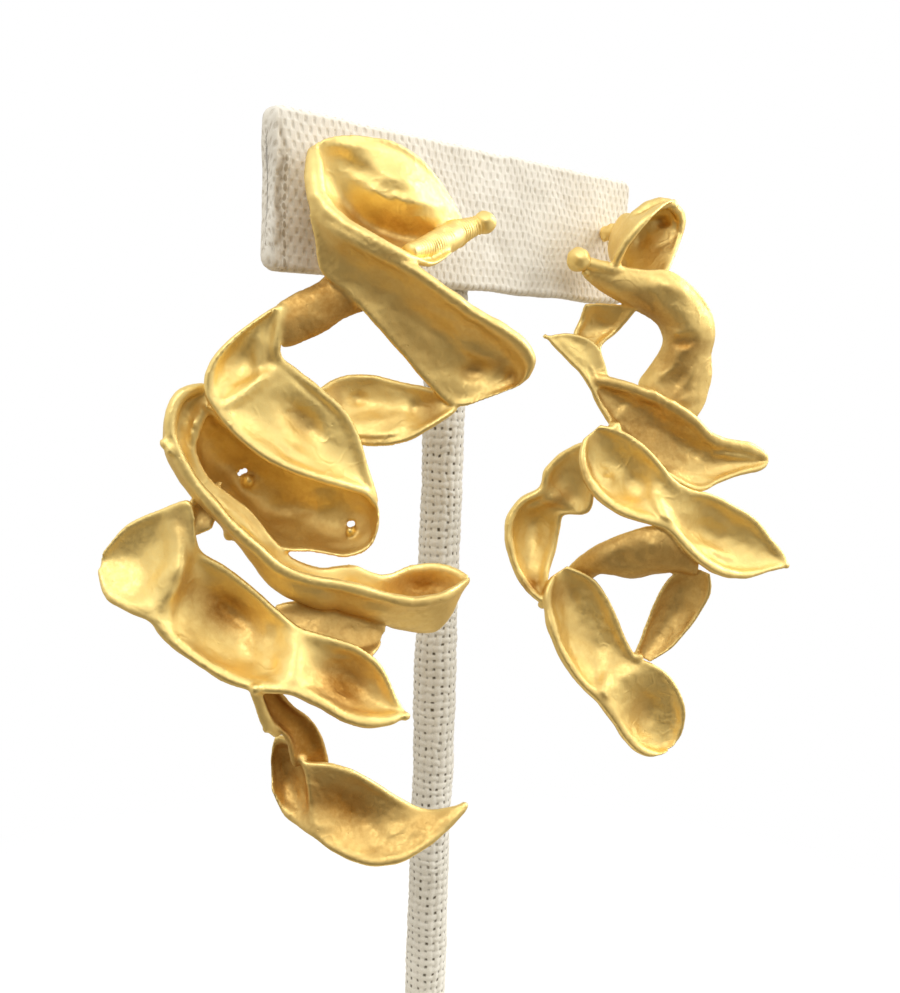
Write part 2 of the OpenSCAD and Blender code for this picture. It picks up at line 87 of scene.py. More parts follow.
# The earrings: where they hang, how far their solder pads reach forward, the size of the voxels that
# fuse them, the share of their triangles that stays, and the seed of their unevenness
LEFT = SimpleNamespace(name="left_earring", node="left_pods", hook=np.array([-28, BAR_FRONT, HOOK_Z]),
                       pad=0.9, voxel=0.26, share=0.6, seed=100)
RIGHT = SimpleNamespace(name="right_earring", node="right_pods", hook=np.array([28, BAR_FRONT, HOOK_Z]),
                        pad=2.9, voxel=0.23, share=0.62, seed=500)

# Pods, as sections along them: [first edge across, up, depth, second edge across, up, depth, hollow].
# Places are on the drawing plane from the hook, and depths grow away from the eye
LEFT.pods = {
    "cup": [
        [-1.9, 2.6, -6, -1.3, 4.8, -5, 0.8],
        [-1.5, -0.2, -8, 1.5, 6.1, -3.5, 2.2],
        [0.9, -3.4, -9, 5, 6.3, -1, 4.2],
        [4.8, -5.6, -9.3, 9.4, 5.6, 1.5, 6.8],
        [8.8, -7.5, -9, 12.8, 3.6, 3.5, 7],
        [12, -9, -7.5, 15.3, 0.8, 5, 5.5],
        [14.6, -9.6, -5, 17.2, -2, 6, 3.5],
        [17, -8, -1, 18.4, -4, 6.5, 1.2],
    ],
    "long": [
        [-1.2, -3, -8, -1.7, 0.5, -7.5, 0.2],
        [-0.4, -6, -7.5, 1, -3.6, -9, 0.3],
        [0.3, -10.7, -6.5, 6.2, -6.6, -9.3, 0.6],
        [3.8, -13.6, -5.5, 12, -9.3, -8, 0.9],
        [7.4, -17.2, -4.5, 16.8, -12.3, -7, 1.2],
        [10.8, -20.8, -3, 20.6, -14.8, -6, 1.6],
        [14.2, -24.5, -1.5, 24.2, -16.7, -5, 2.2],
        [18, -27.5, -0.5, 27.2, -18.8, -4, 2.2],
        [22.6, -26.2, -1, 28.5, -21.3, -3, 1.4],
        [26, -24.8, -2, 27.8, -23.4, -2.5, 0.4],
    ],
    "hinge": [
        [3, -9, -4.4, 8.5, -15, -3.4, -0.6],
        [0, -12, -5.2, 4.2, -16.3, -4.2, -1],
        [-2.6, -13.4, -7, 0, -19, -6, -1],
        [-5.4, -15, -8.4, -4.4, -20.9, -8, -0.6],
    ],
    "back": [
        [0.2, -29.5, -1, 0.2, -25.8, -1, 0.5],
        [4, -32.5, -1.2, 3, -24.1, 1, 1],
        [8, -33.1, -1.2, 7, -23.7, 2, 1.4],
        [12, -32.3, -1.5, 11, -24.5, 1.6, 1.3],
        [15, -30.6, -1.8, 14.2, -25, 0.4, 0.9],
        [18.6, -28.2, -0.9, 17.8, -26, -0.7, 0.6],
    ],
    "face": [
        [-6.4, -15.9, -9.5, -4.2, -15, -8.4, 0.4],
        [-11.2, -19.6, -11, -4.3, -17.3, -8.6, 1.3],
        [-14.2, -23.3, -12, -4.7, -20.2, -8.6, 1.9],
        [-14.6, -26.8, -12, -4.4, -21.9, -8, 1.3],
        [-13.2, -29.3, -12, -2.8, -23.1, -7.4, 0.5],
        [-10.6, -32.4, -12, 0.2, -25.3, -6.8, 1.3],
        [-6.5, -35.4, -11.5, 3.3, -27.9, -6, 1.9],
        [-2.3, -37.2, -10.5, 5.3, -30.6, -5.2, 1.6],
        [2.6, -38.6, -8, 6.5, -34.2, -4.6, 0.9],
        [6.2, -39.6, -5.5, 7.5, -37.6, -4, 0.4],
        [7.9, -41, -4, 8.4, -40.2, -3.6, 0.2],
    ],
    "nest": [
        [7.8, -39.6, -4.6, 8.7, -43, -4.4, 0.4],
        [5.4, -37.6, -2.8, 7.7, -46.4, -4.6, 2.2],
        [1.6, -36.6, -2, 4.6, -48, -5, 3.6],
        [-2, -35.6, -3, 0.2, -47.5, -5.5, 4.6],
        [-6, -34.2, -4, -5, -47, -6, 5.2],
        [-9, -32.4, -5, -10.2, -42, -7, 5.2],
        [-11.5, -30.5, -7, -14.3, -39.2, -8.6, 4],
        [-13.2, -28.9, -9, -16.6, -34.8, -9.6, 2.2],
        [-14.2, -28.2, -10, -16.2, -30.8, -10, 0.6],
    ],
    "sash": [
        [-15, -25.2, -9.5, -13.4, -27.4, -9, 0.4],
        [-18.2, -26.7, -11.8, -14, -29.2, -9, 1.4],
        [-19.6, -29.8, -12.8, -15, -31.6, -9, 2],
        [-19.2, -33.2, -13, -15.7, -34.6, -9, 2],
        [-17.1, -37.4, -13, -14.2, -38, -8.4, 1.7],
        [-14.1, -41.3, -12.8, -11.4, -40.2, -7.4, 1.5],
        [-11, -44.8, -12.2, -8.2, -42.6, -6.6, 1.7],
        [-7.6, -47.6, -11.4, -5.4, -46, -5.8, 2.2],
        [-4.6, -50, -10.6, -2.6, -48.6, -4.6, 3],
        [-0.8, -51.3, -9.8, 1.2, -49.8, -3.4, 3.6],
        [4.2, -52.2, -9, 5.2, -49.2, -2.4, 4.2],
        [9.2, -53.4, -7.5, 9.2, -50.4, -1, 5.4],
        [13.6, -54.2, -6, 12.8, -49, 2.5, 7],
        [17.6, -53.2, -4.5, 16.6, -48.5, 4.8, 7.5],
        [20, -51.6, -1.5, 19.2, -49.3, 4.4, 4.5],
        [21, -50.7, 1.2, 20.6, -50.2, 3.4, 0.6],
    ],
    "scoop": [
        [-28.6, -51.6, -12, -28, -48.4, -11.5, 0.4],
        [-27.4, -54.8, -13, -24.6, -44.5, -11, 1.2],
        [-24.4, -56.5, -13.5, -20, -42.2, -11, 1.5],
        [-21.8, -57.6, -13.8, -16.3, -41.1, -11.5, 1.1],
        [-20.6, -59.2, -14, -15.6, -45.6, -11, 0.6],
        [-18.4, -61.3, -14, -14.8, -47.8, -9.5, 1.8],
        [-14.6, -63.9, -13.8, -11.2, -49.9, -8.5, 3.4],
        [-10.6, -66, -13.4, -7.6, -52.7, -8, 3.8],
        [-6.6, -66.9, -13, -4.5, -55.4, -8, 2.2],
        [-2.6, -67.2, -12.5, -1.5, -57.6, -8.4, 0.6],
        [1, -68.7, -12, 2.6, -58.8, -8, 1.8],
        [4.6, -70.7, -11.4, 6.5, -60.1, -7.2, 2.6],
        [8.2, -71.3, -10.4, 9.5, -62.7, -6.8, 2.2],
        [11, -70.8, -9.2, 11.4, -66.6, -7, 1],
        [12.9, -69.8, -8, 12.9, -69.1, -7.6, 0.2],
    ],
    "tab": [
        [-15.2, -39.4, -9.4, -12.2, -38.2, -6.4, 0.2],
        [-17, -42.4, -10.4, -12.6, -41.2, -8, 0.4],
        [-17, -46.4, -10.6, -13.3, -44.7, -9.4, 0.2],
    ],
    "stay": [
        [-4.6, -60.6, -8.4, -5, -54.6, -6, 0.3],
        [0.6, -61.8, -8, 0.6, -53.6, -5, 0.8],
        [5, -62, -7, 5.6, -54.6, -4, 1],
        [8.2, -61.4, -6, 9.2, -56.3, -3, 0.6],
        [9, -59.8, -4.4, 10, -57.4, -3.4, 0.2],
    ],
    "strap": [
        [-8.5, -66, -13.2, -4.6, -65.8, -11.6, 0.5],
        [-7, -68.5, -11.6, -2.4, -68.4, -8.8, 0.9],
        [-5.6, -70.9, -10.5, 0, -70.2, -7, 1.1],
        [-3.6, -72.8, -9.5, 1.4, -72.2, -6, 1],
        [-2.8, -75, -8.5, 2.2, -74.3, -5.4, 0.8],
        [-2.4, -77.2, -7.5, 2.8, -76.6, -5.2, 0.5],
    ],
    "thorn": [
        [-8.6, -66, -13, -6.8, -65.8, -12.8, -0.4],
        [-7.6, -69, -12, -5.9, -68.6, -11.6, -0.8],
        [-6.5, -71.6, -11, -4.9, -71, -10.4, -0.8],
        [-4.9, -73.1, -9.8, -4, -72.6, -9.4, -0.4],
    ],
    "foot": [
        [-5.1, -80.6, -6, -5.3, -76, -6, 0.6],
        [-3.4, -83.8, -6, -4.7, -72.8, -6, 2.2],
        [-1.3, -85.4, -6.8, -2.3, -73.4, -6.8, 2.2],
        [0.8, -87, -8.4, -0.6, -76, -7.4, 0.6],
        [3, -88.8, -9, 2.8, -76.3, -7, 0.9],
        [6, -90.3, -9, 6, -77.2, -6.4, 1.6],
        [9.4, -91, -8.6, 9, -78.8, -5.6, 1.7],
        [13, -90.2, -8, 12, -80.7, -4.8, 0.6],
        [16.2, -88.2, -7, 15, -82.2, -4.2, 0],
        [19, -85.6, -5.6, 18, -82.4, -3.8, -0.2],
        [20.9, -83.3, -4.6, 20.2, -81.9, -3.8, 0.2],
        [21.6, -82, -4, 21.4, -81.5, -3.8, 0.1],
    ],
}
RIGHT.pods = {
    "cup": [
        [11, -6.3, -6.4, 1.5, -5.9, -9.6, 4],
        [12.3, -2.6, -3.5, 3, -2.4, -11, 7.5],
        [13, 0, -2, 5, 0.6, -11.5, 7.4],
        [13.4, 2, -1.8, 7.1, 3.1, -11, 5.2],
        [13, 3.9, -2.4, 9.2, 4.9, -8.5, 3],
        [11.9, 5.1, -4, 10.6, 5.5, -6, 0.8],
    ],
    "long": [
        [-2.8, -7, -9, -1.6, -5.2, -9.8, -0.3],
        [0.4, -9.3, -7.5, 2.5, -5.2, -9.5, -1],
        [4, -11.2, -6, 7, -5.5, -8.5, -1.6],
        [7.4, -12.8, -5, 11.5, -5.6, -7.5, -2.1],
        [9.8, -14.4, -4.6, 15.3, -8, -7, -2.4],
        [10.9, -16.6, -4.4, 18.1, -11, -6, -2.4],
        [10.4, -18.8, -4.2, 19.5, -15, -5, -2.4],
        [8.8, -21.4, -4.2, 19.1, -18.6, -4, -2.1],
        [7.2, -24.2, -4.4, 19.3, -22.5, -3.6, -1.9],
        [8.6, -27.4, -5, 18.6, -26.4, -3.8, -1.4],
        [12, -30, -5.4, 17.4, -29.4, -4.6, -0.5],
    ],
    "stay": [
        [-2.2, -11.4, -6.4, 6.6, -11.8, -6, 0.7],
        [-2.9, -14, -5.2, 3.6, -15.6, -4.4, 1.1],
        [-3.8, -16.6, -6.4, 1, -18.2, -5.6, 1],
        [-2.2, -19.6, -8.2, 1.4, -20.6, -7.4, 0.7],
        [0.2, -24, -8.8, 2.4, -23.6, -8, 0.3],
    ],
    "beak": [
        [-8.5, -17.1, -10, -8.3, -16.7, -9.8, 0.2],
        [-6.6, -18.9, -9.6, -5, -16.2, -9, 0.2],
        [-4.5, -20.8, -9.4, -2, -16.7, -8.4, 0.4],
        [-2.6, -22.6, -9.2, 0.2, -18.1, -8, 0.4],
        [-1.2, -24.4, -9, 1.4, -20.4, -8, 0.4],
        [-0.1, -26.4, -8.9, 2.3, -23, -8.3, 0.3],
    ],
    "shelf": [
        [-0.6, -24.6, -8.4, 0, -22.5, -8.2, 0.3],
        [0.4, -27.4, -8.6, 3, -23.2, -8.2, 1.1],
        [2.4, -30.4, -8.8, 6.5, -24, -7.8, 1.8],
        [5, -33.6, -9, 10, -25.1, -7.6, 2.4],
        [9, -37, -9, 13.6, -26.8, -7.2, 2.7],
        [13.6, -40, -8.6, 17, -29, -6.6, 2.5],
        [18.2, -41.8, -8, 20, -31.8, -5.8, 2],
        [21.6, -40.2, -7, 23, -32.7, -5, 1.5],
        [25, -38.8, -6, 26, -33.2, -4.2, 1],
        [27.9, -38, -5, 28.2, -34.1, -3.6, 0.6],
        [29.3, -37.1, -4.3, 29.4, -35.1, -3.6, 0.2],
    ],
    "face": [
        [-1.6, -33.8, -11, 1.4, -31.1, -10, 0.4],
        [-2, -37, -12, 4, -31.6, -10, 1.8],
        [-0.8, -40.8, -12.6, 7, -32.9, -10.2, 2.8],
        [2, -44.1, -13, 9.6, -34.9, -10.4, 3.1],
        [6, -46.4, -13, 11.8, -37.1, -10.4, 2.3],
        [10.4, -47.6, -12.8, 14.1, -39.8, -10.2, 0.8],
        [13.4, -48.6, -12.4, 17, -41.3, -9.6, 0.6],
        [16.4, -51.6, -12, 20.6, -42, -8.8, 1.9],
        [19.6, -54.3, -11.4, 24.5, -43.8, -8, 2.7],
        [23.2, -56, -10.4, 28, -45.8, -7, 2.5],
        [27.2, -56.2, -9, 30.8, -48.9, -6.2, 1.4],
        [30.8, -55, -7.6, 33.1, -51.6, -5.8, 0.5],
        [33.2, -54.4, -6.6, 33.9, -53.2, -6, 0.1],
    ],
    "curl": [
        [-1.2, -33.8, -10, 1.2, -37.6, -9.4, 0.4],
        [-4.9, -35.8, -8.8, 1, -41.8, -8.6, 1.1],
        [-7.5, -38.6, -8.6, 0.6, -45, -8.2, 1.4],
        [-8.4, -41.8, -8.6, -0.8, -46.2, -7.8, 0.7],
        [-11.6, -44, -9.4, -3.9, -46.4, -7, 1.5],
        [-13.6, -47.2, -10, -4.5, -48.6, -6.6, 2.7],
        [-13.6, -51, -10.6, -5, -52, -6.8, 2.8],
        [-12.3, -55.4, -11, -5.9, -55.5, -7.6, 2.1],
        [-10, -59.2, -11.4, -6.2, -58.6, -10, 1],
        [-7, -62, -12, -5.8, -61.2, -11.2, 0.3],
    ],
    "span": [
        [-1.6, -58.2, -5.4, -3.6, -56, -6.4, -0.4],
        [0.6, -57.6, -5.8, -1, -53.3, -7.4, -0.9],
        [3.2, -56, -7, 2.6, -50.8, -9.4, -1.8],
        [8, -56.6, -6.6, 7, -48.9, -10.8, -2.2],
        [12, -55.8, -6.8, 12, -47.6, -11.6, -2],
        [16, -55.4, -7.6, 16, -49.4, -10.8, -1.4],
        [19, -56, -8.6, 19, -52.8, -9.4, -0.5],
    ],
    "leaf": [
        [16.6, -54.4, -9, 21.2, -55.6, -9.4, 0.5],
        [13.8, -57, -8.4, 21.4, -58.8, -8.6, 1.7],
        [12, -60.6, -8, 20, -62.2, -8, 2.3],
        [10.8, -64.2, -7.8, 18, -65.4, -7.8, 2.1],
        [9.8, -67.6, -8, 15.4, -68.6, -7.8, 1.4],
        [8.9, -70, -8.2, 12, -71.2, -8, 0.5],
    ],
    "foot": [
        [-6, -57.2, -10.4, -3, -55, -9, 0.4],
        [-6.9, -60, -11.6, 1.4, -57, -8.8, 1.8],
        [-6.5, -63.5, -12.4, 4, -60.1, -8.8, 2.7],
        [-5.3, -67.3, -13, 6, -64, -8.8, 3],
        [-3.3, -71.3, -13.2, 7.8, -67.8, -8.8, 2.6],
        [-0.5, -75.2, -13, 9.6, -70.4, -8.8, 1.6],
        [3, -78.4, -12.6, 11.7, -71.2, -8.8, 0.6],
        [5.4, -81.3, -12.2, 14.6, -72.8, -8.8, 1.4],
        [7.8, -84.8, -11.8, 17.1, -76, -8.6, 2.5],
        [10.2, -87.1, -11.2, 18.4, -80, -8.4, 2.5],
        [13, -87.9, -10.4, 17.7, -84, -8.2, 1.3],
        [15.2, -87.2, -9.6, 16.4, -86, -8.8, 0.4],
    ],
}

# Cast stems that end in a ball, and casting nubs: [across, up, depth, radius]
LEFT.stem = [
    [11.6, -8, -5.5, 1.1], [13.6, -7.4, -2.4, 1.4], [15.6, -6.5, 1, 1.75],
    [17.6, -5.4, 4.2, 1.8], [19.4, -4.6, 6, 1.3],
]
RIGHT.stem = [[4.4, -5.9, -8.4, 0.6], [0.6, -5.4, -9.6, 1], [-1.6, -4.9, -10.2, 0.9]]
LEFT.ball = [21.2, -3.9, 6.6, 1.55]
RIGHT.ball = [-3.5, -4.3, -10.6, 1.85]
LEFT.nubs = [
    [-19.7, -33.6, -12.6, 0.7], [-19, -34.5, -12.8, 0.7], [-11.1, -45.4, -9.9, 0.85],
    [-8.7, -38.1, -1.4, 0.9], [4.9, -44.3, -2.3, 0.7], [12.9, -69.5, -8, 0.6],
    [-7.4, -66.4, -13.4, 0.8], [-6, -71.9, -10.6, 0.5], [21.3, -81.8, -3.9, 0.55],
    [6.6, -58, -3.6, 0.6],
]
RIGHT.nubs = [
    [-2.3, -6.4, -9.9, 0.6], [0.6, -0.8, -1.2, 0.6], [1.6, 1, -1.6, 0.7],
    [33.8, -53.7, -6.2, 0.6], [29.1, -36.1, -3.9, 0.6], [-7, -61.8, -10.7, 0.7],
    [9.6, -70.4, -8.6, 0.95], [-8.4, -16.9, -9.9, 0.4], [3.8, -31.6, -9.5, 1.1],
    [11.3, 4.8, -4.8, 0.9],
]
# Solid metal inside the castings, as the points and radii of tapered rods
LEFT.cores = [
    [[-1, 4.5, -5.2, 0.6], [-0.8, 2.9, -5.8, 1.1], [-0.7, 0.9, -6.9, 1.3], [-0.3, -1.5, -7.9, 1.3],
     [1.2, -3.4, -8.5, 1.15], [3.4, -5, -8.9, 1], [6.2, -6.3, -9, 0.9], [8.8, -7.6, -8.8, 0.8],
     [11, -8.6, -8.1, 0.65], [12.4, -9.1, -7.2, 0.4]],
    [[14.4, -85.4, -4.2, 0.4], [16.4, -85.1, -4.4, 0.9], [18, -84.2, -4.4, 1.1], [19.4, -83.3, -4.2, 0.9],
     [20.8, -82.3, -3.9, 0.6]],
    [[11.8, -8.2, -5, 0.9], [14, -7.5, -1.6, 1.5], [16.6, -6.1, 2.4, 1.85], [18, -5.2, 4.6, 1.6]],
]
RIGHT.cores = [
    [[3.6, 0.6, -7.4, 0.6], [5.4, 2.8, -7.2, 1], [7.4, 4.3, -6.8, 1.1], [9.2, 5, -6, 1],
     [10.6, 5.1, -5, 0.8], [11.8, 4.2, -3.8, 0.5]],
    [[8.6, 5.1, -6.2, 0.7], [10.6, 5, -5, 0.8], [12.2, 3.9, -3.6, 0.75], [12.8, 2.2, -2.6, 0.6],
     [12.7, 0.4, -2.4, 0.5], [12.2, -1.4, -3.1, 0.42], [11.5, -3.4, -4.4, 0.3]],
    [[4.4, -6.2, -8.6, 0.8], [2, -5.7, -9.3, 1.1], [-0.6, -5.2, -9.8, 0.95], [-2.6, -4.6, -10.4, 0.9]],
]

# Dents and ridges, by pod: [across, up, half length, half width, turn, push]
# The push is along the sight line, away from the eye where it is positive.
LEFT.dents = {
    "cup": [
        [6.8, -0.6, 1.1, 0.9, 0, -0.35], [11.3, -1.5, 3.6, 0.8, -8, -0.6],
        [9.8, -1.3, 6.8, 3.9, -20, -3.9], [7.6, 3.4, 7, 2, -24, -1.3],
        [9.8, -5.6, 5.2, 2.8, -22, 0.8],
    ],
    "long": [
        [20.4, -22.8, 2.2, 1.3, 10, 0.7], [25.4, -23.4, 1, 1.6, 0, 0.7],
        [14, -16.5, 4.5, 1.6, -30, 0.35], [21, -20.4, 3.4, 0.9, -18, -0.35],
    ],
    "face": [
        [-9.2, -26.3, 5.2, 1.1, 38, -0.8], [-11, -22.6, 3.2, 2.6, 40, 0.5],
        [-7.4, -21.5, 1.1, 3.8, 0, -0.5], [-1.9, -30.2, 3.6, 1.9, -42, 0.9],
        [-3.2, -34, 2.6, 0.8, -32, -0.5], [-0.3, -26.6, 5, 0.45, -38, 0.35],
        [-3.8, -28.5, 0.6, 0.5, 0, -0.3],
    ],
    "nest": [
        [-8.6, -38.2, 1.5, 1.2, 0, -0.5], [-3.5, -42, 3.4, 2, 10, 0.5],
        [1.2, -39.8, 2, 1.4, 20, -0.4], [-10.5, -35.6, 2.4, 1.4, 60, 0.4],
        [-13.5, -30.6, 0.5, 0.5, 0, 0.7],
    ],
    "sash": [[15.2, -50.8, 3, 1.4, 0, 0.5], [-9.8, -43.6, 4.6, 1.1, -45, -1]],
    "scoop": [
        [-23.8, -50.2, 2.8, 3.4, 10, 0.35], [-18.4, -46.4, 1.3, 4.6, 8, -0.6],
        [-18.9, -52.4, 5, 2.2, 42, -0.8], [-10.9, -55.4, 4.6, 2, -35, 0.8],
        [-6.2, -61.2, 3, 1.6, -35, -0.4], [-2.9, -62.6, 2.2, 4.6, 0, -0.7],
        [4.4, -64.6, 3.6, 2.4, -30, 0.7], [-16.5, -54, 0.6, 2.4, -4, -0.14],
    ],
    "back": [
        [8.6, -30.6, 5, 2.4, 8, -1.1], [5.4, -27, 1.4, 1, 0, 0.5], [14, -28.4, 1.8, 2.2, 0, 0.8],
    ],
    "foot": [
        [4.6, -82.8, 4.6, 3, -25, 0.7], [-0.6, -79.4, 1.2, 4.4, 10, -0.5],
        [0.9, -78.8, 0.4, 0.7, 30, 0.3],
    ],
}
RIGHT.dents = {
    "cup": [
        [9.8, 2.2, 1.2, 1, 0, 0.8], [6.8, -1, 1.8, 1.2, 45, 0.5], [9.8, -3.4, 2, 1.4, 0, -0.3],
    ],
    "long": [
        [14.6, -16.8, 2, 1.2, 10, 0.6], [12, -8.2, 3, 1.4, -30, -0.5],
        [13, -23.5, 2.6, 1.6, 60, 0.5], [9, -10.6, 2.2, 0.7, -50, 0.35],
        [16.4, -12.4, 1.6, 2.4, 20, 0.4], [12.6, -15.2, 1.6, 0.6, -20, -0.3],
        [16.4, -21.6, 2.4, 0.8, 70, -0.4], [11.2, -20.6, 1.4, 1.2, 30, 0.4],
        [15.4, -26.6, 1.6, 1, 30, -0.35],
    ],
    "beak": [[-3.6, -19.2, 3.4, 1.2, -38, -0.4]],
    "shelf": [
        [4, -30.8, 0.4, 0.4, 0, 0.6], [5, -29.2, 1.8, 1, 60, -0.4], [15, -34, 4.2, 2, -30, 0.6],
        [23.5, -35.4, 3.6, 0.8, -8, -0.5],
    ],
    "face": [
        [2.4, -40.2, 1.5, 2, 20, -0.7], [2.6, -39.4, 0.9, 0.6, 30, 0.5],
        [-0.4, -38.6, 0.9, 3, 12, 0.5], [7.6, -41.2, 2.6, 3, 20, 0.7],
        [12.2, -45.4, 1.2, 3.4, 30, -0.8], [19.8, -48.6, 3.8, 2.2, -28, 0.7],
        [22.2, -52.2, 3, 0.8, -24, -0.4],
    ],
    "curl": [[-9.4, -49.6, 2, 3.4, 0, 0.5], [-7.6, -44.4, 3.4, 0.8, 25, -0.5]],
    "span": [[6, -53.4, 1.6, 1.2, 0, 0.4], [11, -51.5, 1.2, 1.4, 0, -0.35]],
    "foot": [
        [-3, -60.5, 2, 3.6, 20, 0.6], [0.2, -70.4, 1.8, 3, 20, -0.4],
        [4, -75.8, 1, 4.4, -5, -0.7], [10.6, -79.6, 2.6, 3.4, -10, 0.8],
        [10.6, -84.8, 2.4, 0.8, 10, -0.35],
    ],
}

# Holes pierced through the castings: [across, up, depth, radius]
LEFT.holes = [
    [4.8, -43.5, -3, 0.4], [5.1, -43.4, -3, 0.38], [-9.9, -37.3, 0, 0.26], [-9.6, -37, 0, 0.33],
    [-9.2, -36.85, 0, 0.33],
]
RIGHT.holes = []

# How flat the bottom of a pod is, the radii of its first and second rims, and its lip's width
PLAIN_SHAPE = (0.45, (0.45, 0.45), 0.45)
LEFT.shapes = {
    "cup": (0.1, (0.45, 0.4), 0.2), "long": (0.2, (0.4, 0.85), 0.3), "back": (0.3, (0.4, 0.4), 0.3),
    "face": (0.45, (0.6, 0.4), 0.5), "nest": (0.45, (0.4, 0.25), 0.2), "sash": (0.3, (0.75, 0.45), 0.4),
    "scoop": (0.45, (0.65, 0.4), 0.5), "foot": (0.45, (0.6, 0.45), 0.45), "thorn": (0, (0.45, 0.45), 0.1),
    "hinge": (0.6, (0.45, 0.45), 0.2), "strap": (0.3, (0.4, 0.35), 0.1),
}
RIGHT.shapes = {
    "cup": (0, (0.45, 0.7), 0.3), "long": (0.3, (0.45, 0.6), 0.3), "shelf": (0.45, (0.45, 0.95), 0.3),
    "face": (0.45, (0.7, 0.45), 0.5), "curl": (0.45, (0.6, 0.4), 0.4), "foot": (0.45, (0.7, 0.4), 0.4),
    "stay": (0.6, (0.4, 0.4), 0.2), "beak": (0, (0.4, 0.4), 0.1), "span": (0.6, (0.5, 0.4), 0.2),
    "leaf": (0.2, (0.25, 0.3), 0.1),
}

# How brown the outer and the inner side of a pod are painted, from 0 to 1: partly the metal's own brown and
# partly painted shade on sides that lie in shade
PLAIN_TONES = (0.1, 0.1)
LEFT.tones = {
    "cup": (0.2, 0), "hinge": (0.8, 0.8), "nest": (0.4, 0.28), "strap": (0.7, 1),
    "back": (0.3, 0.1), "long": (0.3, 0.25), "stay": (0.6, 0.6), "tab": (0.4, 0.4),
    "sash": (0.25, 0.05), "foot": (0.15, 0.5), "face": (0.3, 0), "scoop": (0.3, 0),
}
RIGHT.tones = {
    "cup": (0.15, 0.15), "long": (0.4, 0.2), "stay": (0.3, 0.25), "shelf": (0.3, 0.4),
    "face": (0.25, 0.1), "curl": (0.3, 0.1), "span": (0.55, 0.6), "leaf": (0.3, 0.55),
    "foot": (0.25, 0.15), "beak": (0.2, 0.05),
}

# Painted shade, with some brown tarnish, on the inner sides, and painted highlight where the amount is
# negative: [across, up, half length, half width, turn, how brown]
LEFT.stains = {
    "cup": [
        [9.6, -4.6, 4.6, 2.6, -22, 0.85], [5.9, 3.1, 1.8, 0.45, -30, 0.4], [3.6, -3, 1.4, 3.4, 15, 0.35],
        [10, 0.6, 0.4, 0.4, 0, 0.3],
    ],
    "long": [[24, -22, 3.4, 1.2, -40, 0.3], [20.4, -22.8, 1.8, 1, 10, 0.3]],
    "face": [[-1.9, -30.4, 3.4, 1.9, -42, 0.4], [-6.8, -22, 1.2, 3.2, 0, 0.25]],
    "nest": [
        [-9.6, -36.4, 3.4, 2.4, -30, 0.25], [-5, -39.6, 5, 1.6, -30, 0.25], [4.9, -43.4, 1.2, 1.2, 0, 0.3],
    ],
    "back": [
        [2.6, -28, 1.6, 3.8, 0, 0.5], [15.4, -27.6, 2, 4, 0, 0.5], [8, -34, 7, 1.1, 0, 0.5],
        [8, -23.2, 7, 0.9, 4, 0.4],
    ],
    "sash": [[14.6, -51.6, 5, 2.2, 0, 0.9], [-7.6, -44, 2.6, 1.4, -40, 0.2]],
    "scoop": [
        [-11.8, -55.6, 6.4, 3.8, -38, 0.85], [-17.6, -45, 1.3, 4, 10, 0.4],
        [4.4, -65.8, 5.6, 4.4, -35, 1], [-16.5, -53.5, 0.5, 2.2, -4, 0.3],
    ],
    "foot": [
        [4, -81.9, 5.4, 3, -25, 0.5], [-3.3, -77.4, 1.7, 5.4, 0, 0.35], [15.4, -84.8, 2, 1.6, 20, 0.15],
    ],
}
RIGHT.stains = {
    "cup": [[9.8, 2.2, 1.6, 1.2, 0, 0.45], [6.5, -1, 2, 1.3, 45, 0.2], [11.6, -0.4, 2, 1, 60, 0.2]],
    "long": [
        [14.9, -17.4, 2.6, 1.2, 0, 0.6], [13.8, -20.6, 5, 4.4, 0, 0.4],
        [8.6, -12, 5.6, 2.2, -38, 0.6], [13, -26, 5, 2.6, 0, 0.4],
    ],
    "shelf": [
        [4, -30.8, 0.5, 0.5, 0, 0.5], [9, -32.5, 6.5, 4, -30, 0.35], [25.4, -35.4, 4.6, 2.4, -6, -0.3],
        [18.4, -40, 5, 1.8, 12, -0.3],
    ],
    "curl": [[-5, -43.6, 2.6, 1.8, 30, 0.5], [-8.8, -58.4, 1.8, 1.6, 0, 1]],
    "face": [[-0.6, -39, 0.9, 2.8, 12, 0.3], [15, -46, 1.6, 4, 40, 0.2]],
    "foot": [[-4.2, -60, 2.6, 3, 20, 0.35], [10.4, -79.4, 2.6, 3, -10, 0.25]],
}

# How finely a pod is swept: the step along it, and the points across its wall and round each rim
STEP = 0.5
SIDE = 30
ROLL = 5
# The depth of a bowl is at most this share of its width, and its width over NARROW in a narrow one
DEEPEST = 0.8
NARROW = 7
# How far the thickness of a rim reaches in, how squarely it turns, and how the ends get thinner
RIM_FADE = 2.4
RIM_TURN = 0.7
END_FADE, END_T = 1.5, 0.7
# How crisp the edges of dents and of the spots of painted shade and tarnish are
CRISP_DENT, CRISP_SHADE_AND_TARNISH = 1.6, 1.1
# Unevenness, as the height and the size of its waves: of the wall, of its thickness, of the fused
# skin, of a nub and of the ball on a stem
BUCKLES, RIPPLES, THICK_AND_THIN = (0.08, 6), (0.025, 2.2), (0.05, 3.5)
LUMPS, SMALL_LUMPS = (0.014, 1.7), (0.01, 0.9)
NUB_LUMPS, BALL_LUMPS = (0.06, 1.6), (0.02, 1.6)
# Pits show where waves of this size rise above the level. Metal without painted brown has this share of the
# lumps
PIT_SIZE, PIT_LEVEL, PIT_DEPTH = 1.2, 1.5, 0.06
CLEAN = 0.35
# The ribs round a stem, and the radii between which they begin
RIB, RIB_H, RIB_FROM = 0.5, 0.06, (1.1, 1.4)
# The solder pad: its gap to the crossbar, the length of its straight part, its radius and its tip's
PAD_GAP, PAD_LEN, PAD_R, PAD_TIP_R = 0.45, 0.6, 1.1, 0.8
# How long the drill is, and how far from a hole its edge is rounded
HOLE_LENGTH, HOLE_EDGE = 9, 0.3
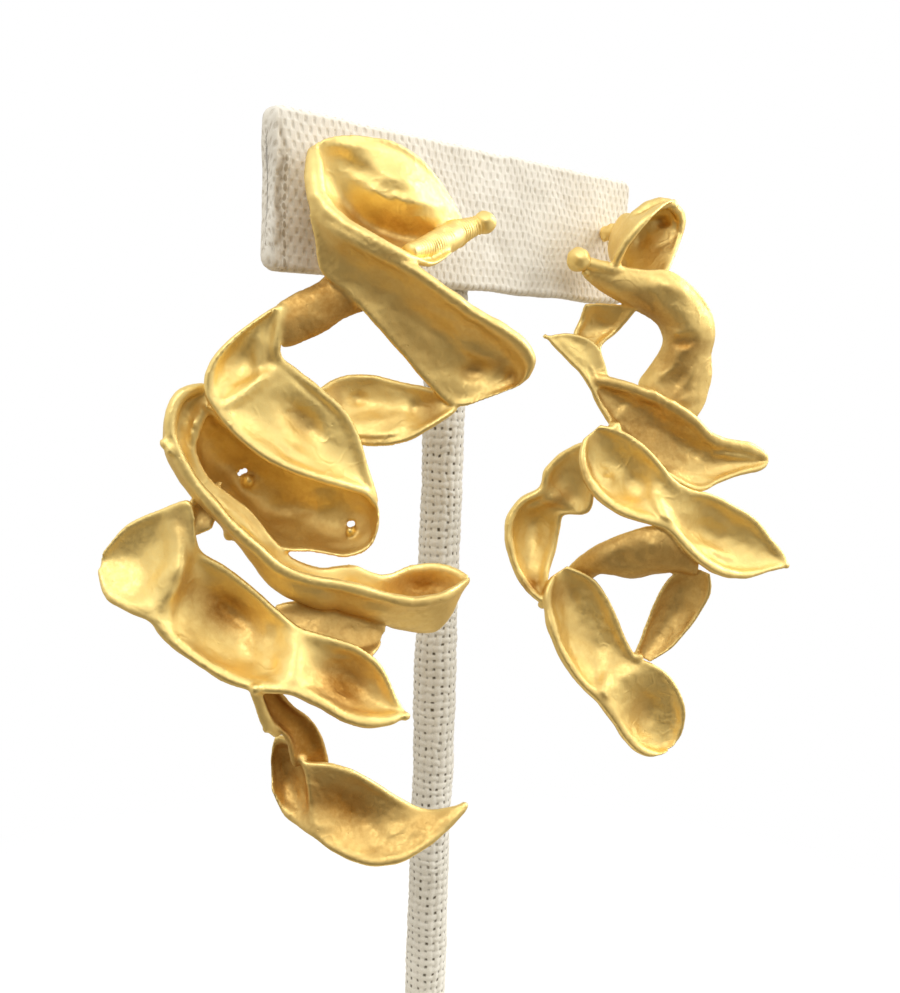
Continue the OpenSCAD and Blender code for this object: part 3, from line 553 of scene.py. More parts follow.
# Loose bits with fewer vertices than this are taken away
BIT = 1000
# How often values are spread over their neighbours, for the surroundings of a vertex and for browns
AROUND, BLEND = 14, 5
# How many plain waves make the random ones
WAVES = 28


# Points, as arrays with three numbers last
def unit(v):
    """The same ways with length 1."""
    return v / np.maximum(np.linalg.norm(v, axis=-1, keepdims=True), 1e-9)


def lengths(points):
    """How far along the line through all the points each one lies."""
    return np.concatenate([[0], np.cumsum(np.linalg.norm(np.diff(points, axis=0), axis=1))])


def placed(hook, across, up, depth):
    """A point of the hook's drawing plane, moved along its sight line by the depth."""
    across, up, depth = (np.asarray(x, float)[..., None] for x in (across, up, depth))
    sight = across * ACROSS + up * UP - (EYE - hook)
    return EYE + sight * (1 + depth / (sight @ AWAY)[..., None])


def seen(hook, points):
    """Where points show on the hook's drawing plane, and their sight lines."""
    eye = EYE - hook
    sight = points - hook - eye
    flat = eye + sight * (-(eye @ AWAY) / (sight @ AWAY))[..., None]
    return flat @ ACROSS, flat[..., 2], unit(sight)


def waves(points, height, size, seed):
    """Smooth random waves of about this height and size."""
    rng = np.random.default_rng(seed)
    way = unit(rng.normal(size=(WAVES, 3)))
    way *= (2 * math.pi / size) * rng.uniform(0.7, 1.4, (WAVES, 1))
    turn = rng.uniform(0, 2 * math.pi, WAVES)
    total = np.zeros(points.shape[:-1])
    for w, t in zip(way, turn):
        total += np.sin(points @ w + t)
    return height * (total / math.sqrt(WAVES / 2))


def smoothstep(x, low, high):
    t = np.clip((x - low) / (high - low), 0, 1)
    return t * t * (3 - 2 * t)


def spots(across, up, rows, crisp):
    """The sum of oval spots: [across, up, half length, half width, turn, height]."""
    total = np.zeros(across.shape)
    for x, z, long, broad, turn, height in rows:
        c, s = math.cos(math.radians(turn)), math.sin(math.radians(turn))
        r = (((across - x) * c + (up - z) * s) / long) ** 2 \
            + (((up - z) * c - (across - x) * s) / broad) ** 2
        total += height * np.exp(-1.4 * r ** crisp)
    return total


# Meshes
def skin(bm, points, uv=None, marks=None):
    """A closed tube through rings of points, with a lid on each end."""
    rings, n = points.shape[:2]
    layers = [(bm.verts.layers.float.new(key), values) for key, values in (marks or {}).items()]
    grid = bmesh.ops.create_grid(bm, x_segments=rings - 1, y_segments=n, size=0.5)["verts"]
    cell = {v: (round((v.co.x + 0.5) * (rings - 1)), round((v.co.y + 0.5) * n)) for v in grid}
    for v, (i, k) in cell.items():
        v.co = points[i, k % n]
        for layer, values in layers:
            v[layer] = values[i, k % n]
    faces = list(dict.fromkeys(f for v in grid for f in v.link_faces))
    if uv is not None:
        layer = bm.loops.layers.uv.verify()
        for f in faces:
            for loop in f.loops:
                loop[layer].uv = uv[cell[loop.vert]]
    seam = [v for v, (i, k) in cell.items() if k % n == 0]
    bmesh.ops.remove_doubles(bm, verts=seam, dist=1e-5)
    faces = [f for f in faces if f.is_valid]
    rim = [e for e in dict.fromkeys(e for f in faces for e in f.edges) if e.is_boundary]
    lids = bmesh.ops.holes_fill(bm, edges=rim, sides=0)["faces"]
    bmesh.ops.recalc_face_normals(bm, faces=faces + lids)


def linked(name, data):
    """A new object in the scene."""
    thing = bpy.data.objects.new(name, data)
    bpy.context.scene.collection.objects.link(thing)
    return thing


def meshed(name, bm):
    """A new object from a bmesh, which is used up."""
    mesh = bpy.data.meshes.new(name)
    bm.to_mesh(mesh)
    bm.free()
    return linked(name, mesh)


def made(name, bm, look, slot, *nodes):
    """Turns a bmesh in millimetres into a piece of the object."""
    bmesh.ops.transform(bm, matrix=Matrix.Scale(METRE, 4), verts=bm.verts)
    piece = meshed(name, bm)
    piece.data.polygons.foreach_set("use_smooth", [True] * len(piece.data.polygons))
    piece.data.materials.append(look)
    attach(piece, "root")
    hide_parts(*nodes)
    return piece


def changed(bm, *modifiers):
    """The bmesh after modifiers, each as (type, settings)."""
    work = meshed("work", bm)
    mesh = work.data
    for kind, settings in modifiers:
        modifier = work.modifiers.new(kind, kind)
        for key, value in settings.items():
            setattr(modifier, key, value)
    shown = work.evaluated_get(bpy.context.evaluated_depsgraph_get())
    result = bmesh.new()
    result.from_mesh(shown.to_mesh())
    shown.to_mesh_clear()
    bpy.data.objects.remove(work)
    bpy.data.meshes.remove(mesh)
    return result


def positions(bm):
    """The points and the normals of all vertices."""
    bm.verts.ensure_lookup_table()
    return np.array([v.co for v in bm.verts]), np.array([v.normal for v in bm.verts])


def marked(bm, name, values):
    """Keeps a value for each vertex under a name that materials can read."""
    layer = bm.verts.layers.float.new(name)
    for v, value in zip(bm.verts, values):
        v[layer] = value


def soft(bm, values, rounds):
    """Values of the vertices, spread over their neighbours."""
    bm.verts.index_update()
    pair = np.array([[v.index for v in e.verts] for e in bm.edges])
    count = np.maximum(np.bincount(pair.ravel(), minlength=len(values)), 1)[:, None]
    for _ in range(rounds):
        total = [np.bincount(pair[:, 0], column[pair[:, 1]], len(values))
                 + np.bincount(pair[:, 1], column[pair[:, 0]], len(values)) for column in values.T]
        values = 0.4 * values + 0.6 * np.stack(total, axis=-1) / count
    return values


def convexity(bm):
    """How far each vertex stands out of its surroundings, in millimetres."""
    points, normals = positions(bm)
    return ((points - soft(bm, points, AROUND)) * normals).sum(1)


def crumbs(bm):
    """The vertices of small loose bits."""
    left, loose = set(bm.verts), []
    while left:
        bit, edge = [], [left.pop()]
        while edge:
            bit += edge
            edge = {e.other_vert(v) for v in edge for e in v.link_edges} & left
            left -= edge
        if len(bit) < BIT:
            loose += bit
    return loose


# Pods
def curve(p0, p1, p2, p3, f):
    """A point on a smooth curve from p1 to p2, when p0 comes before them and p3 after them."""
    return p1 + f / 2 * (p2 - p0) + f * f / 2 * (2 * p0 - 5 * p1 + 4 * p2 - p3) \
        + f * f * f / 2 * (3 * p1 - p0 - 3 * p2 + p3)


def sections(rows, hook):
    """Sections of a pod, about STEP apart: first edges, second edges and hollows."""
    rows = np.array(rows, float)
    s = np.concatenate([
        placed(hook, rows[:, 0], rows[:, 1], rows[:, 2]),
        placed(hook, rows[:, 3], rows[:, 4], rows[:, 5]), rows[:, 6:]], axis=1)
    last = len(s) - 1
    out = []
    for i in range(last):
        middle = (s[i + 1, :3] + s[i + 1, 3:6] - s[i, :3] - s[i, 3:6]) / 2
        n = max(2, round(np.linalg.norm(middle) / STEP))
        for k in range(n):
            out.append(curve(s[max(i - 1, 0)], s[i], s[i + 1], s[min(i + 2, last)], k / n))
    out.append(s[last])
    out = np.array(out)
    return out[:, :3], out[:, 3:6], out[:, 6]


def bowl(rows, shape, hook):
    """The middle of a pod's wall: its points, ways out and across, and distances along the pod."""
    flat, rims, lip = shape
    first, second, hollow = sections(rows, hook)
    middle = (first + second) / 2
    span = np.linalg.norm(second - first, axis=1)
    over = unit(second - first)
    out = unit(np.cross(over, np.gradient(middle, axis=0)))
    inset = [np.minimum(r, span / 3) for r in rims]
    start = first + inset[0][:, None] * over
    wide = span - inset[0] - inset[1]
    deepest = wide * np.minimum(DEEPEST, wide / NARROW)
    bow = np.clip(hollow, -deepest, deepest)[:, None, None]
    over, out, wide = over[:, None], out[:, None], wide[:, None, None]
    # The way over the wall, as a share, with points closer at both edges
    t = np.linspace(0, 1, SIDE)
    share = (t - 0.5 * np.sin(2 * math.pi * t) / (2 * math.pi))[None, :, None]
    # A section is between a sine and a flatter curve, and starts level at both lips
    level = 1 - np.exp(-((np.minimum(share, 1 - share) * wide / lip) ** 2))
    dip = level * ((1 - flat) * np.sin(math.pi * share) + flat * (1 - (2 * share - 1) ** 4))
    slope = bow * np.gradient(dip, share[0, :, 0], axis=1)
    wall = start[:, None] + share * wide * over + bow * dip * out
    return wall, unit(wide * out - slope * over), unit(wide * over + slope * out), lengths(middle)


def pod(rows, shape, dents, tones, stains, hook, seed):
    """Rings of points round a pod's wall, and how brown each point is painted, partly as painted shade."""
    wall, face, along, far = bowl(rows, shape, hook)
    across, up, sight = seen(hook, wall)
    gaps = np.linalg.norm(np.diff(wall, axis=1), axis=2)
    first = np.concatenate([np.zeros((len(wall), 1)), np.cumsum(gaps, axis=1)], axis=1)
    second = first[:, -1:] - first
    edge = np.minimum(first, second)
    push = spots(across, up, dents, CRISP_DENT) * smoothstep(edge, 0, 1)
    wall = wall + push[..., None] * sight
    buckles = waves(wall, *BUCKLES, seed) + waves(wall, *RIPPLES, seed + 1)
    wall = wall + (smoothstep(edge, 0, 1.6) * buckles)[..., None] * face

    near_end = np.minimum(far, far[-1] - far)
    taper = END_T + (1 - END_T) * np.sin(np.minimum(near_end / END_FADE, 1) * math.pi / 2)
    rolled = [(r - WALL_T / 2) * np.exp(-((d / RIM_FADE) ** 2)) for r, d in zip(shape[1], (first, second))]
    uneven = 1 + waves(wall, *THICK_AND_THIN, seed + 2)
    half = (taper[:, None] * (WALL_T / 2 + (rolled[0] + rolled[1])) * uneven)[..., None]

    # Along the inner side, round the second rim, back along the outer side and round the first rim
    turn = [(math.copysign(abs(math.cos(w)) ** RIM_TURN, math.cos(w)), math.sin(w) ** RIM_TURN)
            for w in np.linspace(0, math.pi, ROLL + 2)[1:-1]]
    ring = [wall - half * face]
    ring += [(wall - half * face * c + half * along * s)[:, -1:] for c, s in turn]
    ring.append((wall + half * face)[:, ::-1])
    ring += [(wall + half * face * c - half * along * s)[:, :1] for c, s in turn]
    outer, inner = tones
    # Spots of painted shade and tarnish, and of painted highlight where their amount is negative
    shade_and_tarnish_here = spots(across, up, stains, CRISP_SHADE_AND_TARNISH)
    rims = [np.repeat(min(outer, inner) + shade_and_tarnish_here[:, k][:, None], ROLL, axis=1) for k in (-1, 0)]
    tone = np.concatenate([inner + shade_and_tarnish_here, rims[0], np.full_like(shade_and_tarnish_here, outer), rims[1]], axis=1)
    return np.concatenate(ring, axis=1), tone


def rod(bm, centres, radii, sides=40):
    """A round rod through centres, one radius for each, without a twist."""
    centres = np.array(centres)
    ahead = unit(np.gradient(centres, axis=0))
    side = [unit(np.cross(ahead[0], np.eye(3)[np.argmin(abs(ahead[0]))]))]
    for way in ahead[1:]:
        side.append(unit(side[-1] - (side[-1] @ way) * way))
    side = np.array(side)
    over = np.cross(side, ahead)
    w = np.linspace(0, 2 * math.pi, sides, endpoint=False)[None, :, None]
    ring = np.cos(w) * side[:, None] + np.sin(w) * over[:, None]
    skin(bm, centres[:, None] + ring * np.array(radii)[:, None, None])


def ball(bm, centre, radius, detail, lumps):
    """A ball of cast metal. lumps gives the share by which it is larger at each of its points."""
    verts = bmesh.ops.create_icosphere(bm, subdivisions=detail, radius=radius)["verts"]
    points = np.array([v.co for v in verts])
    for v, p in zip(verts, points * (1 + lumps(points))[:, None] + centre):
        v.co = p


def nub(bm, centre, radius, seed):
    """A lumpy casting nub."""
    height, size = NUB_LUMPS
    ball(bm, centre, radius, 3, lambda points: waves(points + centre, height, radius * size, seed))


def stem(bm, rows, end, hook):
    """A stem with cast ribs round it, and the ball on its end."""
    keys = np.array([placed(hook, *row[:3]) for row in rows + [end]])
    key_at = lengths(keys)
    s = np.arange(0, key_at[-1], RIB / 9)
    centres = np.array([np.interp(s, key_at, keys[:, c]) for c in range(3)]).T
    radii = np.interp(s, key_at, [row[3] for row in rows + rows[-1:]])
    ribs = RIB_H * np.sin(2 * math.pi * s / RIB) * smoothstep(radii, *RIB_FROM)
    radii += ribs * (1 + 0.5 * np.sin(1.7 * s)) + 0.04 * np.sin(2.3 * s)
    rod(bm, centres, radii)
    ball(bm, placed(hook, *end[:3]), end[3], 5, lambda points: waves(points, *BALL_LUMPS, 5))


def drilled(bm, middle, radius):
    """The bmesh with a hole through middle along the sight line, its edges a little rounded."""
    sight = unit(middle - EYE)
    half = sight * HOLE_LENGTH / 2
    cutter = bmesh.new()
    rod(cutter, [middle - half, middle + half], [radius, radius], 20)
    drill = meshed("drill", cutter)
    bm = changed(bm, ("BOOLEAN", {"object": drill, "solver": "MANIFOLD"}))
    bpy.data.objects.remove(drill)
    offset = positions(bm)[0] - middle
    along = offset @ sight
    off_axis = np.linalg.norm(offset - along[:, None] * sight, axis=1)
    near = (off_axis < radius + HOLE_EDGE) & (abs(along) < HOLE_LENGTH / 2)
    edge = [v for v, is_near in zip(bm.verts, near) if is_near]
    for _ in range(2):
        bmesh.ops.smooth_vert(bm, verts=edge, factor=0.5, use_axis_x=True, use_axis_y=True, use_axis_z=True)
    return bm


def fused(cast):
    """All soldered metal of an earring as one skin, and how brown each of its vertices is painted, partly
    as painted shade.
    """
    bm = bmesh.new()
    samples, browns = [], []
    for i, (key, rows) in enumerate(cast.pods.items()):
        points, brown = pod(
            rows, cast.shapes.get(key, PLAIN_SHAPE), cast.dents.get(key, []),
            cast.tones.get(key, PLAIN_TONES), cast.stains.get(key, []), cast.hook, cast.seed + 10 * i)
        skin(bm, points)
        samples.append(points.reshape(-1, 3))
        browns.append(brown.ravel())
    for i, (a, u, d, r) in enumerate(cast.nubs):
        nub(bm, placed(cast.hook, a, u, d), r, cast.seed + i)
    for rows in cast.cores:
        rod(bm, [placed(cast.hook, *row[:3]) for row in rows], [row[3] for row in rows])
    pad = cast.hook - np.array([0, PAD_GAP, 0])
    rod(bm, [pad, pad - [0, PAD_LEN, 0], pad - [0, cast.pad, 0]], [PAD_R, PAD_R, PAD_TIP_R])
    bm = changed(bm, ("REMESH", {"mode": "VOXEL", "voxel_size": cast.voxel}), ("SMOOTH", {"iterations": 3}))
    bmesh.ops.delete(bm, geom=crumbs(bm), context="VERTS")

    where = np.concatenate(samples)
    tree = KDTree(len(where))
    for i, p in enumerate(where):
        tree.insert(p, i)
    tree.balance()
    nearest = np.array([tree.find(p)[1] for p in positions(bm)[0]])
    return bm, soft(bm, np.concatenate(browns)[nearest, None], BLEND)[:, 0]


def earring(cast):
    """The fused skin with lumps, pits and holes, and the stem."""
    bm, tone = fused(cast)
    points, normals = positions(bm)
    lumps = waves(points, *LUMPS, cast.seed + 301) + waves(points, *SMALL_LUMPS, cast.seed + 302)
    lumps = (CLEAN + (1 - CLEAN) * tone) * lumps
    pits = np.maximum(0, waves(points, 1, PIT_SIZE, cast.seed + 303) - PIT_LEVEL) * PIT_DEPTH * tone
    for v, p in zip(bm.verts, points + normals * (lumps - pits)[:, None]):
        v.co = p
    bm.normal_update()
    # How far each vertex stands out: hollows are painted browner, as patina and painted shade, and convex
    # places are worn bright
    wear_and_shade = convexity(bm)
    marked(bm, "tone", tone)
    marked(bm, "wear_and_shade", wear_and_shade)
    bm = changed(bm, ("DECIMATE", {"ratio": cast.share}))
    for a, u, d, r in cast.holes:
        bm = drilled(bm, placed(cast.hook, a, u, d), r)
    made(cast.name, bm, GOLD, "cast_gold", cast.node)
    bm = bmesh.new()
    stem(bm, cast.stem, cast.ball, cast.hook)
    made(cast.name + "_stem", bm, GOLD, "cast_gold", cast.node)


# Materials
class Value:
    """A number or colour that a shader works out. + - * and / make maths nodes."""

    def __init__(self, socket):
        self.socket = socket
        self.tree = socket.id_data

    def __add__(self, other):
        return maths("ADD", self, other)

    def __sub__(self, other):
        return maths("SUBTRACT", self, other)

    def __rsub__(self, other):
        return maths("SUBTRACT", other, self)

    def __mul__(self, other):
        return maths("MULTIPLY", self, other)

    def __truediv__(self, other):
        return maths("DIVIDE", self, other)

    def clamped(self):
        """Keeps the result of the last sum between 0 and 1."""
        self.socket.node.use_clamp = True
        return self


def feed(n, inputs):
    """Gives inputs of a shader node plain values or Values."""
    for key, value in dict(inputs).items():
        if isinstance(value, Value):
            value.tree.links.new(value.socket, n.inputs[key])
        else:
            n.inputs[key].default_value = value


def node(tree, kind, inputs=(), output=0, **settings):
    """An output of a new shader node."""
    n = tree.nodes.new("ShaderNode" + kind)
    for key, value in settings.items():
        setattr(n, key, value)
    feed(n, inputs)
    return Value(n.outputs[output])


def maths(operation, *values):
    tree = next(v.tree for v in values if isinstance(v, Value))
    return node(tree, "Math", enumerate(values), operation=operation)


def size_of(d):
    """A value without its sign."""
    return maths("ABSOLUTE", d)


def mixed(factor, a, b):
    return node(factor.tree, "Mix", {0: factor, 6: a, 7: b}, 2, data_type="RGBA")


def ramp(value, low, high, a=0.0, b=1.0):
    """A smooth change from a to b as the value goes from low to high."""
    return node(value.tree, "MapRange", {0: value, 1: low, 2: high, 3: a, 4: b},
                interpolation_type="SMOOTHSTEP")


def noise(at, size, detail=2.0, rough=0.5):
    return node(at.tree, "TexNoise", {"Vector": at, "Scale": 1 / size, "Detail": detail,
                                      "Roughness": rough})


def combined(x, y, z=0.0):
    return node(x.tree, "CombineXYZ", {0: x, 1: y, 2: z})


def attribute(tree, name):
    return node(tree, "Attribute", output="Fac", attribute_name=name)


def millimetres(tree):
    """The place on the object in millimetres."""
    place = node(tree, "TexCoord", output="Object")
    return node(tree, "VectorMath", {0: place, 1: [1 / METRE] * 3}, operation="MULTIPLY")


def material(name):
    """A new material, its node tree and its main shader."""
    m = bpy.data.materials.new(name)
    m.use_nodes = True
    return m, m.node_tree, m.node_tree.nodes["Principled BSDF"]


def gold_material(name, cast):
    """Satin gold. Where it is cast it is brown in its hollows, as patina and painted shade, and bright
    where it is worn.
    """
    m, tree, shader = material(name)
    at = millimetres(tree)
    cloudy = noise(at, 5, 3)
    fine = noise(at, 0.55, 3, 0.6)
    grain = noise(at, 0.16, 2, 0.6)
    bright, brown = (0.96, 0.75, 0.3, 1), (0.45, 0.225, 0.045, 1)
    if cast:
        tone, wear_and_shade = attribute(tree, "tone"), attribute(tree, "wear_and_shade")
        # The tone brings painted shade and tarnish. Hollows get browner as patina and painted shade, and
        # convex places are polished lighter by wear
        darkening = tone + ramp(wear_and_shade, 0.0, -0.25, 0, 0.35) + ramp(cloudy, 0.45, 0.75, -0.04, 0.1)
        polish = ramp(wear_and_shade, 0.02, 0.2) * ramp(tone, 0.4, 1, 1, 0.2)
        darkening = (darkening * ramp(fine, 0.3, 0.7, 0.94, 1.04) * (1.0 - polish * 0.7)).clamped()
    else:
        darkening, polish = ramp(cloudy, 0.4, 0.8, 0, 0.3), 0.5
    # Satin grain, low wrinkles in patches, pits and specks
    crease = ramp(size_of(noise(at, 2.6, 1) - 0.5), 0.0, 0.1, 1, 0)
    patchy = ramp(noise(at, 6, 1), 0.42, 0.62)
    pits, specks = (node(tree, "TexVoronoi", {"Vector": at, "Scale": s}, "Distance") for s in (0.6, 1.3))
    height = fine * (darkening * 0.006 + 0.011) + grain * 0.006 + crease * patchy * 0.03
    height = height + ramp(pits, 0.0, 0.12, -0.025, 0) + ramp(specks, 0.0, 0.12, 0.012, 0)
    feed(shader, {
        "Base Color": mixed(darkening, bright, brown), "Metallic": 1,
        "Roughness": ramp(fine, 0.3, 0.7, 0.48, 0.6) - polish * 0.08,
        "Normal": node(tree, "Bump", {"Strength": 1.0, "Distance": METRE, "Height": height})})
    return m


# How far a thread rises and sinks as it crosses others, as a share of its height, from where to
# where the cloth sinks between covering threads, and how dark the weft's spots are there
CRIMP = 0.35
SINK = (-0.9, 0.1)
SPOT = 0.22


def linen_material(name, share, close, light, shade, dark, holes):
    """Plain woven cloth. Its UVs count threads, which fill this share of their pitch.

    Where close is 1 the warp covers the cloth, and the weft only shows in spots between it.
    """
    m, tree, shader = material(name)
    place = node(tree, "UVMap", uv_map="cloth")
    x, y = (node(tree, "SeparateXYZ", {0: place}, k) for k in (0, 1))
    i, j = maths("FLOOR", x), maths("FLOOR", y)
    dx, dy = x - i - 0.5, y - j - 0.5
    over_x, over_y = (maths("COSINE", d * math.pi) for d in (dx, dy))
    sign = maths("FLOORED_MODULO", i + j, 2.0) * -2.0 + 1.0

    def thread(d, along, index, seed):
        """How round a thread is at this distance from its middle, and the gap beside it."""
        thick = node(tree, "TexWhiteNoise", {"W": index + seed}, "Value", noise_dimensions="1D")
        slub = noise(combined(along * 0.35, index, seed), 1, 1)
        half = thick * 0.07 + (share / 2 - 0.1) + slub * 0.13
        q = d / (half + 0.04)
        crown = maths("SQRT", maths("MAXIMUM", 1.0 - q * q, 0.0))
        return crown, ramp(size_of(d) - half, -0.13, 0.06)

    warp, beside_warp = thread(dx, y, i, 3.5)
    weft, beside_weft = thread(dy, x, j, 71.5)
    rise, fall = sign * over_y, sign * over_x
    sunk = rise * over_x
    crowns = maths("MAXIMUM", warp * (rise * CRIMP + (1 - CRIMP)), weft * (fall * -CRIMP + (1 - CRIMP)))
    height = crowns * (1 - close) + ramp(sunk, *SINK, 0, close)
    fibre = noise(combined(x * 6.0, y * 6.0), 1, 3, 0.6)
    at = millimetres(tree)
    colour = mixed(ramp(noise(at, 9, 3), 0.35, 0.7), light, shade)
    colour = mixed(ramp(fibre, 0.35, 0.75, 0, 0.5), colour, (0.95, 0.92, 0.85, 1))
    # Gaps beside threads, round ones along the pulled thread, and the spots and dots of the weft
    uneven = ramp(noise(at, 1.3, 1), 0.3, 0.68, 0.1, 1.1)
    gap = beside_warp * beside_weft * (uneven * holes)
    to_x, to_y = 0.5 - size_of(dx), 0.5 - size_of(dy)
    opened = ramp(to_x * to_x + to_y * to_y, 0.24, 0.08, 0, 0.7)
    gap = maths("MAXIMUM", gap, opened * attribute(tree, "pulled"))
    spot = ramp(sunk, -0.05, -0.8, 0, SPOT * close)
    dot = ramp(sunk, -0.65, -0.95, 0, SPOT * close)
    spot = (spot + dot * ramp(uneven, 0.75, 1.05)) * (uneven * 0.5 + 0.5)
    # The seam mark adds painted shade along the seam's crease and a painted shadow beside it
    darkening = (maths("MAXIMUM", gap, spot) + attribute(tree, "seam")).clamped()
    bump = node(tree, "Bump", {"Strength": 0.8, "Distance": METRE, "Height": height * 0.1 + fibre * 0.05})
    feed(shader, {"Base Color": mixed(darkening, colour, dark), "Roughness": 0.92, "Normal": bump,
                  "Sheen Weight": 0.25, "Sheen Roughness": 0.5})
    return m


GOLD = gold_material("cast_gold", True)
WIRE = gold_material("wire_gold", False)
# Cloths: the share of their pitch that threads fill, how far the warp covers the weft, and the look
CLOSE = SimpleNamespace(share=0.95, close=1)
OPEN = SimpleNamespace(share=0.77, close=0)
CLOSE.look = linen_material("linen", CLOSE.share, CLOSE.close, (0.88, 0.84, 0.74, 1), (0.8, 0.755, 0.65, 1),
                            (0.34, 0.27, 0.17, 1), 0.0)
OPEN.look = linen_material("open_linen", OPEN.share, OPEN.close, (0.8, 0.77, 0.68, 1), (0.7, 0.67, 0.58, 1),
                           (0.11, 0.09, 0.055, 1), 1.0)


# Linen. Its unevenness, as the height and the size of its waves out of its surface and along it,
# the height of the weave that lies on the surface, and how deep a seam is drawn in
BULGES, SMALL_BULGES = (0.07, 13), (0.04, 4.5)
STRAY, SMALL_STRAY = (0.12, 9), (0.07, 2.6)
LEVEL, DRAWN = 0.8, 0.2


def woven(x, y, cloth):
    """Height of plain woven cloth where x and y count its threads, from 0 to 1."""
    dx, dy = x - np.floor(x) - 0.5, y - np.floor(y) - 0.5
    sign = 1 - 2 * ((np.floor(x) + np.floor(y)) % 2)
    over_x, over_y = np.cos(math.pi * dx), np.cos(math.pi * dy)
    warp = np.sqrt(np.maximum(0, 1 - (2 * dx / cloth.share) ** 2)) * (1 - CRIMP + CRIMP * sign * over_y)
    weft = np.sqrt(np.maximum(0, 1 - (2 * dy / cloth.share) ** 2)) * (1 - CRIMP - CRIMP * sign * over_x)
    covered = smoothstep(sign * over_x * over_y, *SINK)
    return cloth.close * covered + (1 - cloth.close) * np.maximum(warp, weft)


def dressed(name, node_name, points, threads, cloth, depth, seed, still=1, **marks):
    """A piece dressed in cloth. Its threads are counted both ways, and still is 0 where nothing moves."""
    n = points.shape[1]
    ring = unit(np.roll(points, -1, axis=1) - np.roll(points, 1, axis=1))
    along = unit(np.gradient(points, axis=0))
    out = unit(np.cross(ring, along))
    centre = points.mean(axis=1, keepdims=True)
    out *= np.where(((points - centre) * out).sum(-1).mean() < 0, -1, 1)
    lift = depth * (woven(threads[:, :n, 0], threads[:, :n, 1], cloth) - LEVEL)
    lift += waves(points, *BULGES, seed + 2) + waves(points, *SMALL_BULGES, seed + 3)
    lift = lift - marks.get("seam", 0) * DRAWN
    stray = [(waves(points, *STRAY, seed + k) + waves(points, *SMALL_STRAY, seed + 5 + k))[..., None]
             for k in (0, 1)]
    move = (stray[0] * ring + stray[1] * along + lift[..., None] * out) * np.asarray(still)[..., None]
    bm = bmesh.new()
    skin(bm, points + move, threads, marks)
    piece = made(name, bm, cloth.look, "linen", node_name)
    piece.data.uv_layers[0].name = "cloth"


def rounded(w, h, r, n):
    """Points round a rectangle with rounded corners, n steps from the first back to the first."""
    corners = []
    for cx, cy, start in ((1, 1, 0), (-1, 1, 90), (-1, -1, 180), (1, -1, 270)):
        for k in range(9):
            t = math.radians(start + 90 * k / 8)
            corners.append([cx * (w / 2 - r) + r * math.cos(t), cy * (h / 2 - r) + r * math.sin(t)])
    corners = np.array(corners + corners[:1])
    length = lengths(corners)
    s = np.linspace(0, length[-1], n + 1)
    return np.stack([np.interp(s, length, corners[:, c]) for c in (0, 1)], axis=-1)


def crossbar():
    """The crossbar as rings along its length, in from one end face and out over the other."""
    warp_threads, warp_steps = 106, 3
    weft_threads, weft_steps = 38, 5
    edge, corner, lid = 0.55, 0.75, 1.45
    n = weft_threads * weft_steps
    pitch = (BAR_LEN - 2 * edge) / warp_threads
    inner = np.linspace(edge, BAR_LEN - edge, warp_threads * warp_steps + 1)
    turn = np.linspace(0, math.pi / 2, 4)[:-1]
    inset = np.concatenate([np.arange(lid, edge, -0.2), edge * (1 - np.sin(turn))])
    place = np.concatenate([np.zeros(len(inset) - len(turn)), edge * (1 - np.cos(turn))])
    x = np.concatenate([place, inner, BAR_LEN - place[::-1]]) - BAR_LEN / 2
    first = len(inset)
    inset = np.concatenate([inset, 0 * inner, inset[::-1]])
    rows = []
    for a, d in zip(x, inset):
        near_end = min(1, max(0, 1 + (abs(a) - BAR_LEN / 2) / BAR_ROUND))
        drop = BAR_ROUND * (1 - math.sqrt(1 - near_end ** 2))
        ring = rounded(BAR_H - 2 * (d + drop), BAR_T - 2 * d, max(0.02, corner - d), n)[:n]
        rows.append(np.stack([np.full(n, a), ring[:, 1] + (BAR_BACK + BAR_FRONT) / 2,
                              ring[:, 0] + STAND_H - BAR_H / 2], axis=-1))
    points = np.array(rows)
    u = lengths(np.stack([x, inset], axis=-1))
    warp = np.repeat(((u - u[first]) / pitch)[:, None], n + 1, axis=1)
    weft = np.repeat(np.arange(n + 1)[None] / weft_steps, len(u), axis=0)

    # The seam where the cloth is folded round the left end. Below fold_z its edge is tucked in
    fold_at, fold_z, fold_slope, seam_half = -33.9, 148.5, 0.9, 0.5
    px, py, pz = points[..., 0], points[..., 1], points[..., 2]
    fold_x = np.where(pz > fold_z, fold_at, fold_at - fold_slope * (fold_z - pz))
    fold_x = fold_x + waves(points, 0.12, 5, 77)
    front = smoothstep(-py, 4.6, 5.4) * smoothstep(164.2 - pz, 0, 2)
    # Along the seam's crease the cloth is painted darker, as painted shade
    seam = 0.55 * front * np.exp(-(((px - fold_x) / seam_half) ** 2)) * (1 + waves(points, 0.25, 5, 78))
    # A painted shadow beside the seam, where the left earring hangs close: its middle and half sizes. The
    # second thread is the pulled one
    shade_x, shade_z, shade_half, shade_high = -30.4, 150, 2.4, 7
    seam += 0.3 * front * np.exp(-(((px - shade_x) / shade_half) ** 2) - ((pz - shade_z) / shade_high) ** 2)
    pulled_x = 2 * pitch + edge - BAR_LEN / 2
    pulled = front * np.exp(-(((px - pulled_x) / seam_half) ** 2)) * smoothstep(161 - pz, 0, 3)
    dressed("crossbar_linen", "stand_crossbar", points, np.stack([warp, weft], axis=-1), CLOSE, 0.05, 11,
            seam=np.clip(seam, 0, 1), pulled=pulled)


